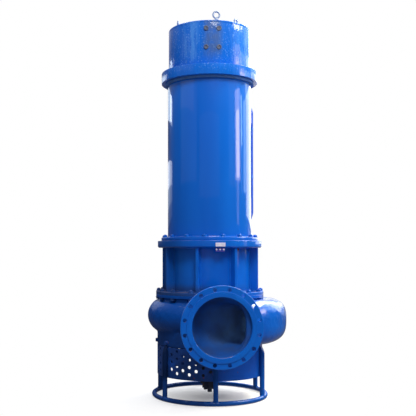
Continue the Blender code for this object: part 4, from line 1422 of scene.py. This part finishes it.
@dataclass
class Cap:
    """The closed cap on the motor: shell, top plate, plugs, lifting eyes and cable gland.

    An eye is an azimuth, a distance from the axis and the degrees by which its ring is turned from facing
    the front.
    """

    radius: float = 0.308
    wall: float = 0.014
    shell: Span = (2.4303, 2.739)
    plate: Span = (2.7393, 2.755)
    plug_middle: float = -3.9
    plug_spread: float = 8.65
    plug_heights: Span = (2.559, 2.695)
    eyes: tuple[tuple[float, float, float], ...] = (
        (2.0, 0.285, 0.0),
        (56.0, 0.221, 52.0),
        (178.0, 0.250, 0.0),
        (277.0, 0.244, 90.0),
    )
    eye_radius: float = 0.0235
    eye_steps: int = 48
    wire: float = 0.0065
    eye_height: float = 0.072
    gland: Span = (200.0, 0.130)

    def eye(self, azimuth: float, distance: float, turn: float) -> tuple[Array, Array]:
        """Builds a lifting eye: a ring of round bar on a turned shank.

        Args:
            azimuth: degrees.
            distance: metres from the pump axis.
            turn: degrees by which the ring is turned from facing the front.

        Returns:
            The grids of ring and shank.
        """
        foot = around(azimuth, distance, self.plate[1] + GAP)
        across = np.array([math.cos(math.radians(turn)), math.sin(math.radians(turn)), 0.0])
        middle = foot + UP * (self.eye_height - self.eye_radius - self.wire - GAP)
        round_eye = circle(1.0, self.eye_steps)
        path = middle + self.eye_radius * (round_eye[:, :1] * across + round_eye[:, 1:] * UP)
        ring = swept(path, circle(self.wire, 16), True, upright=np.cross(across, UP))
        corners = [(0.0, 0.0), (0.016, 0.0), (0.016, 0.007), (0.0075, 0.009)]
        corners += [(self.wire, 0.024), (0.0, 0.024)]
        return ring, foot + lathed(rounded(corners, [0.0, 0.002, 0.002, 0.003, 0.001, 0.0]))

    def plugs(self) -> Array:
        """Builds the four recessed plugs, each turned on its own axis that looks outwards.

        Returns:
            A (plugs, rows, columns, 3) grid.
        """
        corners = [(0.0, 0.0), (0.018, 0.0), (0.018, 0.006), (0.0095, 0.006)]
        corners += [(0.0085, 0.0024), (0.0, 0.0024)]
        plug = lathed(rounded(corners, [0.0, 0.001, 0.002, 0.001, 0.0005, 0.0]))
        azimuth = self.plug_middle + self.plug_spread * np.array([-1.0, 1.0, -1.0, 1.0])
        places = around(azimuth, self.radius + GAP, np.repeat(self.plug_heights, 2))
        return set_out(plug, places, outward(azimuth), UP)

    def gland_grid(self) -> Array:
        """Builds the cable gland: a stepped stub whose bore is open for the cable.

        Returns:
            A (rows, columns, 3) grid.
        """
        corners = [(0.0, 0.0), (0.034, 0.0), (0.034, 0.022), (0.025, 0.022)]
        corners += [(0.025, 0.060), (0.014, 0.060), (0.014, 0.012), (0.0, 0.012)]
        profile = rounded(corners, [0.0, 0.001, 0.003, 0.002, 0.003, 0.003, 0.0, 0.0])
        return around(*self.gland, self.plate[1] + GAP) + lathed(profile, MIDDLE_STEPS)

    def build(self) -> None:
        """Builds the cap and all that is on it."""
        tube = (self.radius, self.radius - self.wall)
        build_ring("cap_shell", BRUSHED_ENAMEL, Slot.ENAMEL, "top_cap", tube, self.shell, 0.001)
        low, high = self.plate
        corners = [(0.0, low), (self.radius, low), (self.radius, high), (0.0, high)]
        lid = turned(rounded(corners, [0.0, 0.001, 0.004, 0.0]))
        Piece("cap_lid", BRUSHED_ENAMEL, Slot.ENAMEL, ("cap_plate",)).add(lid).build()
        for number, grid in enumerate(self.plugs(), start=1):
            plug = Piece(f"recessed_plug_{number}", PLUG_FINISH, Slot.ENAMEL, (f"cap_plug_{number}",))
            plug.add(grid).build()
        for number, place in enumerate(self.eyes, start=1):
            ring, shank = self.eye(*place)
            eye = Piece(f"forged_eye_{number}", PAINTED_SKY_SHEEN, Slot.STEEL, (f"lifting_eye_{number}",))
            eye.add(ring, wrap_rows=True).add(shank).build()
        Piece("turned_gland", FORGED_STEEL, Slot.STEEL, ("cable_gland",)).add(self.gland_grid()).build()


@dataclass
class LabelPlate:
    """The plain plate on the head flange and the small tag with three studs under it."""

    azimuth: float = 3.0
    height: float = 1.132
    size: tuple[float, float, float] = (0.070, 0.027, 0.003)
    flange_radius: float = 0.391
    tag_size: tuple[float, float, float] = (0.068, 0.030, 0.004)
    tag_place: Span = (0.3755, 1.096)
    stud: Fastener = Fastener(0.010, 0.004, 0.0062, 0.001)
    stud_spread: float = 3.9
    stud_height: float = 1.097

    def block(self, size: tuple[float, float, float], radius: float, height: float) -> Array:
        """Builds a plate with rounded corners and eased edges, standing on the flange's face.

        Rows go from the back's middle over the edge to the front's middle.

        Args:
            size: metres across, up and out.
            radius: distance of the plate's back from the pump axis.
            height: height of its middle.

        Returns:
            A (rows, columns, 3) grid.
        """
        share = np.array([0.0, 1.0, 1.0, 0.97, 0.0])[:, None, None]
        out = np.array([0.0, 0.0, 0.7, 1.0, 1.0])[:, None] * size[2]
        flat = share * oblong(size[0], size[1], 0.003)
        return stood(self.azimuth, around(self.azimuth, radius, height), out, flat[..., 0], flat[..., 1])

    def build(self) -> None:
        """Builds plate, tag and studs."""
        plate = self.block(self.size, self.flange_radius + GAP, self.height)
        Piece("plain_plate", SATIN_WHITE, Slot.PLATE, ("label_plate",)).add(plate).build()
        tag = self.block(self.tag_size, *self.tag_place)
        Piece("primed_tag", VIOLET_TAG, Slot.ENAMEL).add(tag).build()
        azimuth = self.azimuth + self.stud_spread * np.array([-1.0, 0.0, 1.0])
        heads = self.stud.looking_out(azimuth, self.tag_place[0] + self.tag_size[2], self.stud_height)
        Piece("tag_screws", SATIN_WHITE, Slot.STEEL).add(heads).build()


@dataclass
class Rotor:
    """The turning pieces: shaft, impeller and agitator.

    A step of an agitator blade is its bottom, its top and its reach.
    """

    blade_thickness: float = 0.018
    blade_sweep: float = 38.0
    blade_root: float = 0.049
    blade_length: float = 0.165
    blade_heights: tuple[float, ...] = (0.502, 0.504, 0.680, 0.681)
    blades: int = 4
    first_stirrer: float = 45.0
    hub_radius: float = 0.024
    step_edge: float = 0.004
    steps: tuple[tuple[float, float, float], ...] = (
        (0.050, 0.081, 0.066),
        (0.079, 0.126, 0.082),
        (0.124, 0.181, 0.104),
        (0.179, 0.252, 0.121),
        (0.250, 0.300, 0.100),
        (0.298, 0.340, 0.066),
    )

    def turned_piece(
        self, name: str, finish: Finish, slot: Slot, node: str, corners: list[Span], edges: list[float]
    ) -> Piece:
        """Returns a turned piece of the rotor, ready for more grids."""
        grid = turned(rounded(corners, edges), MIDDLE_STEPS)
        return Piece(name, finish, slot, (node,), Body.ROTOR).add(grid)

    def bar(self, azimuth: float, root: Array, section: Array, height: tuple | list, share: list) -> Array:
        """Carries a plan section up as a bar with closed ends.

        Args:
            azimuth: the direction of the section's first coordinate.
            root: the section's origin.
            section: (columns, 2) points.
            height: the height of each row.
            share: the size of each row's section, round its middle.

        Returns:
            A (rows, columns, 3) grid.
        """
        middle = section.mean(0)
        plan = middle + (section - middle) * np.array(share)[:, None, None]
        return capped(stood(azimuth, root, plan[..., 0], plan[..., 1], np.array(height)[:, None]))

    def impeller_blade(self, azimuth: float) -> Array:
        """Builds a swept blade: a rounded bar carried up from its lower edge to the disc.

        Args:
            azimuth: of the blade's root.

        Returns:
            A (rows, columns, 3) grid.
        """
        half = self.blade_thickness / 2.0
        corners = [(0.0, -half), (self.blade_length, -half), (self.blade_length, half), (0.0, half)]
        section = rounded(corners, [0.002, 0.008, 0.008, 0.002], closed=True)
        root = around(azimuth, self.blade_root, 0.0)
        share = [0.985, 1.0, 1.0, 1.0]
        return self.bar(azimuth + self.blade_sweep, root, section, self.blade_heights, share)

    def agitator_blade(self, azimuth: float) -> list[Array]:
        """Builds a stirring blade as stepped blocks, each a rounded bar from the hub outwards.

        Args:
            azimuth: of the blade.

        Returns:
            A grid for each step.
        """
        half = self.blade_thickness / 2.0
        blocks = []
        for low, high, reach in self.steps:
            corners = [(self.hub_radius, -half), (reach, -half), (reach, half), (self.hub_radius, half)]
            section = rounded(corners, 0.005, closed=True)
            heights = [low, low + self.step_edge, high - self.step_edge, high]
            blocks.append(self.bar(azimuth, AXIS, section, heights, [0.94, 1.0, 1.0, 0.94]))
        return blocks

    def build(self) -> None:
        """Builds the three pieces."""
        corners = [(0.0, 0.130), (0.022, 0.130), (0.022, 0.500), (0.035, 0.500)]
        corners += [(0.035, 0.700), (0.045, 0.700), (0.045, 1.300), (0.0, 1.300)]
        edges = [0.0, 0.001, 0.001, 0.001, 0.001, 0.001, 0.001, 0.0]
        self.turned_piece("turned_shaft", FORGED_STEEL, Slot.STEEL, "shaft", corners, edges).build()
        corners = [(0.0355, 0.502), (0.062, 0.502), (0.062, 0.678), (0.238, 0.678)]
        corners += [(0.238, 0.6997), (0.0355, 0.6997), (0.0355, 0.502)]
        edges = [0.0, 0.004, 0.012, 0.004, 0.004, 0.001, 0.0]
        impeller = self.turned_piece("cast_impeller", ROUGH_IRON, Slot.IRON, "impeller", corners, edges)
        impeller.add(*(self.impeller_blade(azimuth) for azimuth in evenly(self.blades))).build()
        corners = [(0.0, 0.025), (0.017, 0.025), (0.017, 0.050), (0.040, 0.062)]
        corners += [(0.040, 0.490), (0.0225, 0.490), (0.0225, 0.1297), (0.0, 0.1297)]
        edges = [0.0, 0.003, 0.003, 0.004, 0.004, 0.001, 0.001, 0.0]
        agitator = self.turned_piece("cast_agitator", ROUGH_IRON, Slot.IRON, "agitator", corners, edges)
        for azimuth in evenly(self.blades, self.first_stirrer):
            agitator.add(*self.agitator_blade(azimuth))
        agitator.build()


# Camera, light and floor


@dataclass(frozen=True)
class Softbox:
    """A rectangular studio light that stands round the pump and looks at its axis, level unless aimed."""

    name: str
    azimuth: float
    distance: float
    height: float
    width: float
    tall: float
    brightness: float
    colour: str = "#FFFFFF"
    aim: float | None = None
    mirrored: bool = True

    def build(self) -> None:
        """Makes the light."""
        data = bpy.data.lights.new(self.name, "AREA")
        data.shape = "RECTANGLE"
        data.size = self.width
        data.size_y = self.tall
        data.energy = self.brightness * math.pi * self.width * self.tall
        data.color = linear(self.colour)[:3]
        item = bpy.data.objects.new(self.name, data)
        item.location = around(self.azimuth, self.distance, self.height)
        target = Vector(around(0.0, 0.0, self.height if self.aim is None else self.aim))
        item.rotation_euler = (target - item.location).to_track_quat("-Z", "Y").to_euler()
        item.visible_camera = False
        item.visible_glossy = self.mirrored
        bpy.context.scene.collection.objects.link(item)


@dataclass
class Studio:
    """The camera where the photograph was taken from, the lights, the pale floor and the air round it."""

    camera_place: tuple[float, float, float] = (-0.8803, -5.5203, 1.0848)
    lens: float = 64.42
    shift: Span = (0.1039, 0.0665)
    pitch: float = 1.2
    yaw: float = 5.0
    floor_size: float = 40.0
    softboxes: tuple[Softbox, ...] = (
        Softbox("high_key", 78.0, 3.5, 4.9, 1.6, 1.6, 21.0, "#FFF2C8", 1.5),
        Softbox("far_key", 110.0, 4.5, 6.0, 1.4, 1.2, 18.5, "#FFF2C8", 1.5),
        Softbox("front_fill", 4.0, 4.5, 5.8, 1.9, 1.9, 20.0, aim=1.5),
        Softbox("front_haze", -8.0, 5.0, 2.45, 5.0, 2.2, 0.14),
        Softbox("left_haze", -66.0, 4.0, 3.05, 3.6, 2.6, 0.16),
        Softbox("cap_haze", -72.0, 4.1, 3.75, 3.2, 0.9, 0.26),
        Softbox("right_haze", 60.0, 5.0, 3.1, 2.6, 2.8, 0.22),
        Softbox("bore_fill", -13.0, 4.6, 0.95, 1.0, 1.0, 5.0, "#FFE9DC", 0.57, False),
        Softbox("left_high", -80.0, 3.0, 5.0, 0.40, 0.40, 34.0, aim=1.5),
        Softbox("left_soft_strip", -66.0, 4.0, 3.9, 0.20, 0.9, 0.8),
        Softbox("right_strip", 73.0, 4.0, 2.70, 1.3, 1.80, 3.0, "#FFE6E4"),
        Softbox("right_strip_core", 73.0, 3.9, 2.50, 0.8, 1.3, 6.5, "#FFE2DE", 2.55),
        Softbox("right_strip_tail", 73.0, 4.1, 2.3, 0.6, 2.7, 1.2, "#FFE6E4"),
        Softbox("far_right_strip", 87.5, 4.0, 2.95, 0.30, 0.95, 7.0, "#D4F4FF"),
        Softbox("far_right_tail", 87.5, 4.0, 2.05, 0.26, 0.9, 0.8, "#D4F4FF"),
        Softbox("cap_streak", 113.0, 5.0, 4.0, 0.9, 0.9, 1.7, "#D4EFFF"),
        Softbox("right_rim_high", 101.5, 5.0, 2.62, 0.95, 1.9, 2.6, "#D2F2FF"),
        Softbox("right_rim", 129.0, 5.0, 2.46, 3.5, 2.42, 3.0),
        Softbox("right_low", 135.0, 5.0, 0.75, 2.4, 0.8, 0.5, "#F0F6FF"),
        Softbox("right_rim_top", 130.0, 5.0, 3.9, 3.4, 0.9, 0.4, "#D8EAFF"),
        Softbox("right_back", 140.0, 4.2, 4.9, 1.8, 0.8, 24.0, aim=0.8),
        Softbox("bulge_band", 160.0, 5.0, 3.7, 3.2, 1.6, 4.5, aim=0.7),
        Softbox("bulge_band_low", 160.0, 5.0, 1.25, 1.9, 1.1, 1.1),
        Softbox("overhead", 90.0, 1.2, 6.0, 1.0, 0.5, 28.0, aim=0.6),
        Softbox("back_high", 150.0, 2.6, 4.9, 1.8, 1.2, 7.0, aim=0.7),
        Softbox("left_glint", -140.0, 4.9, 3.31, 1.0, 0.5, 3.8, "#E6F3FF"),
        Softbox("left_rim_low", -150.0, 5.0, 2.13, 3.6, 0.46, 2.0, "#EAF2FF"),
        Softbox("left_rim_fade", -150.0, 5.0, 1.73, 3.6, 0.34, 0.7, "#E2F0FF"),
        Softbox("left_rim_foot", -150.0, 5.0, 1.41, 3.6, 0.3, 0.22, "#E2F0FF"),
        Softbox("left_rim_high", -150.0, 5.0, 3.33, 3.6, 0.56, 1.7, "#E2F2FF"),
        Softbox("left_rim_top", -165.0, 5.0, 4.1, 1.2, 0.8, 0.35, "#DCDCFF"),
    )

    def camera(self) -> None:
        """Makes the camera, which looks along +Y, a little up and to the right."""
        data = bpy.data.cameras.new("camera")
        data.lens = self.lens
        data.sensor_width = 36.0
        data.shift_x, data.shift_y = self.shift
        item = bpy.data.objects.new("camera", data)
        item.location = self.camera_place
        item.rotation_euler = (math.radians(90.0 + self.pitch), 0.0, math.radians(-self.yaw))
        bpy.context.scene.collection.objects.link(item)
        bpy.context.scene.camera = item

    def floor(self) -> None:
        """Makes the pale floor, which brightens away from the pump into the background."""
        half = self.floor_size / 2.0
        corners = [(-half, -half, 0.0), (half, -half, 0.0), (half, half, 0.0), (-half, half, 0.0)]
        mesh = bpy.data.meshes.new("floor")
        mesh.from_pydata(corners, [], [(0, 1, 2, 3)])
        material = bpy.data.materials.new("pale_floor")
        tree = emptied(material)
        place = add_node(tree, "TexCoord").outputs["Object"]
        away = add_node(tree, "VectorMath", {0: place}, operation="LENGTH").outputs["Value"]
        share = ramp(tree, away, (-0.3, 1.1))
        paint = add_node(tree, "BsdfDiffuse", {"Color": linear("#F4F4F4")}).outputs[0]
        glow = add_node(tree, "Emission", {"Color": linear("#FFFFFF")}).outputs[0]
        mixed = add_node(tree, "MixShader", {0: share, 1: paint, 2: glow}).outputs[0]
        add_node(tree, "OutputMaterial", {"Surface": mixed})
        mesh.materials.append(material)
        item = bpy.data.objects.new("floor", mesh)
        item.visible_diffuse = False
        item.visible_glossy = False
        bpy.context.scene.collection.objects.link(item)

    def air(self) -> None:
        """Makes the world: a white ground behind the pump, and air that is dark low down and bright above.

        The air's strength is side x back x high + front + ground, each a ramp over the ray's direction.
        """
        world = bpy.data.worlds.new("studio")
        tree = emptied(world)
        ray = add_node(tree, "TexCoord").outputs["Generated"]
        x, y, z = (part(tree, ray, along) for along in "XYZ")
        high = ramp(tree, z, (0.20, 0.55), (0.0, 0.40))
        side = ramp(tree, x, (-0.6, 0.3), (0.4, 1.4), eased=False)
        back = ramp(tree, y, (0.0, 0.5), (1.0, 4.5))
        front = ramp(tree, y, (-0.6, 0.3), (0.13, 0.08), eased=False)
        ground = ramp(tree, z, (-0.05, -0.55), (0.0, 0.20))
        low = add_node(tree, "Math", {0: front, 1: ground}, operation="ADD").outputs[0]
        parts = {0: product(tree, side, back), 1: high, 2: low}
        strength = add_node(tree, "Math", parts, operation="MULTIPLY_ADD").outputs[0]
        dim = add_node(tree, "Background", {"Color": linear("#EEF3FF"), "Strength": strength}).outputs[0]
        white = add_node(tree, "Background", {"Color": linear("#FFFFFF"), "Strength": 1.0}).outputs[0]
        seen = add_node(tree, "LightPath").outputs["Is Camera Ray"]
        mixed = add_node(tree, "MixShader", {0: seen, 1: dim, 2: white}).outputs[0]
        add_node(tree, "OutputWorld", {"Surface": mixed})
        bpy.context.scene.world = world

    def build(self) -> None:
        """Makes camera, lights, floor and world."""
        bpy.context.scene.view_settings.view_transform = "Standard"
        self.camera()
        for softbox in self.softboxes:
            softbox.build()
        self.floor()
        self.air()


def clear_start() -> None:
    """Removes the objects that a new file starts with."""
    for name in ("Cube", "Light", "Camera"):
        item = bpy.data.objects.get(name)
        if item:
            bpy.data.objects.remove(item)


ASSEMBLIES = (Stand, StrainerSkirt, SuctionCover, Volute, DischargeFlange, OilChamber, Motor, Cap, LabelPlate)


def main() -> None:
    """Builds the sub-assemblies from the floor up, then the studio."""
    logging.basicConfig(level=logging.INFO, format="%(message)s", stream=sys.stdout)
    clear_start()
    for assembly in (*ASSEMBLIES, Rotor, Studio):
        LOG.info("building %s", assembly.__name__)
        assembly().build()


if __name__ == "__main__":
    main()
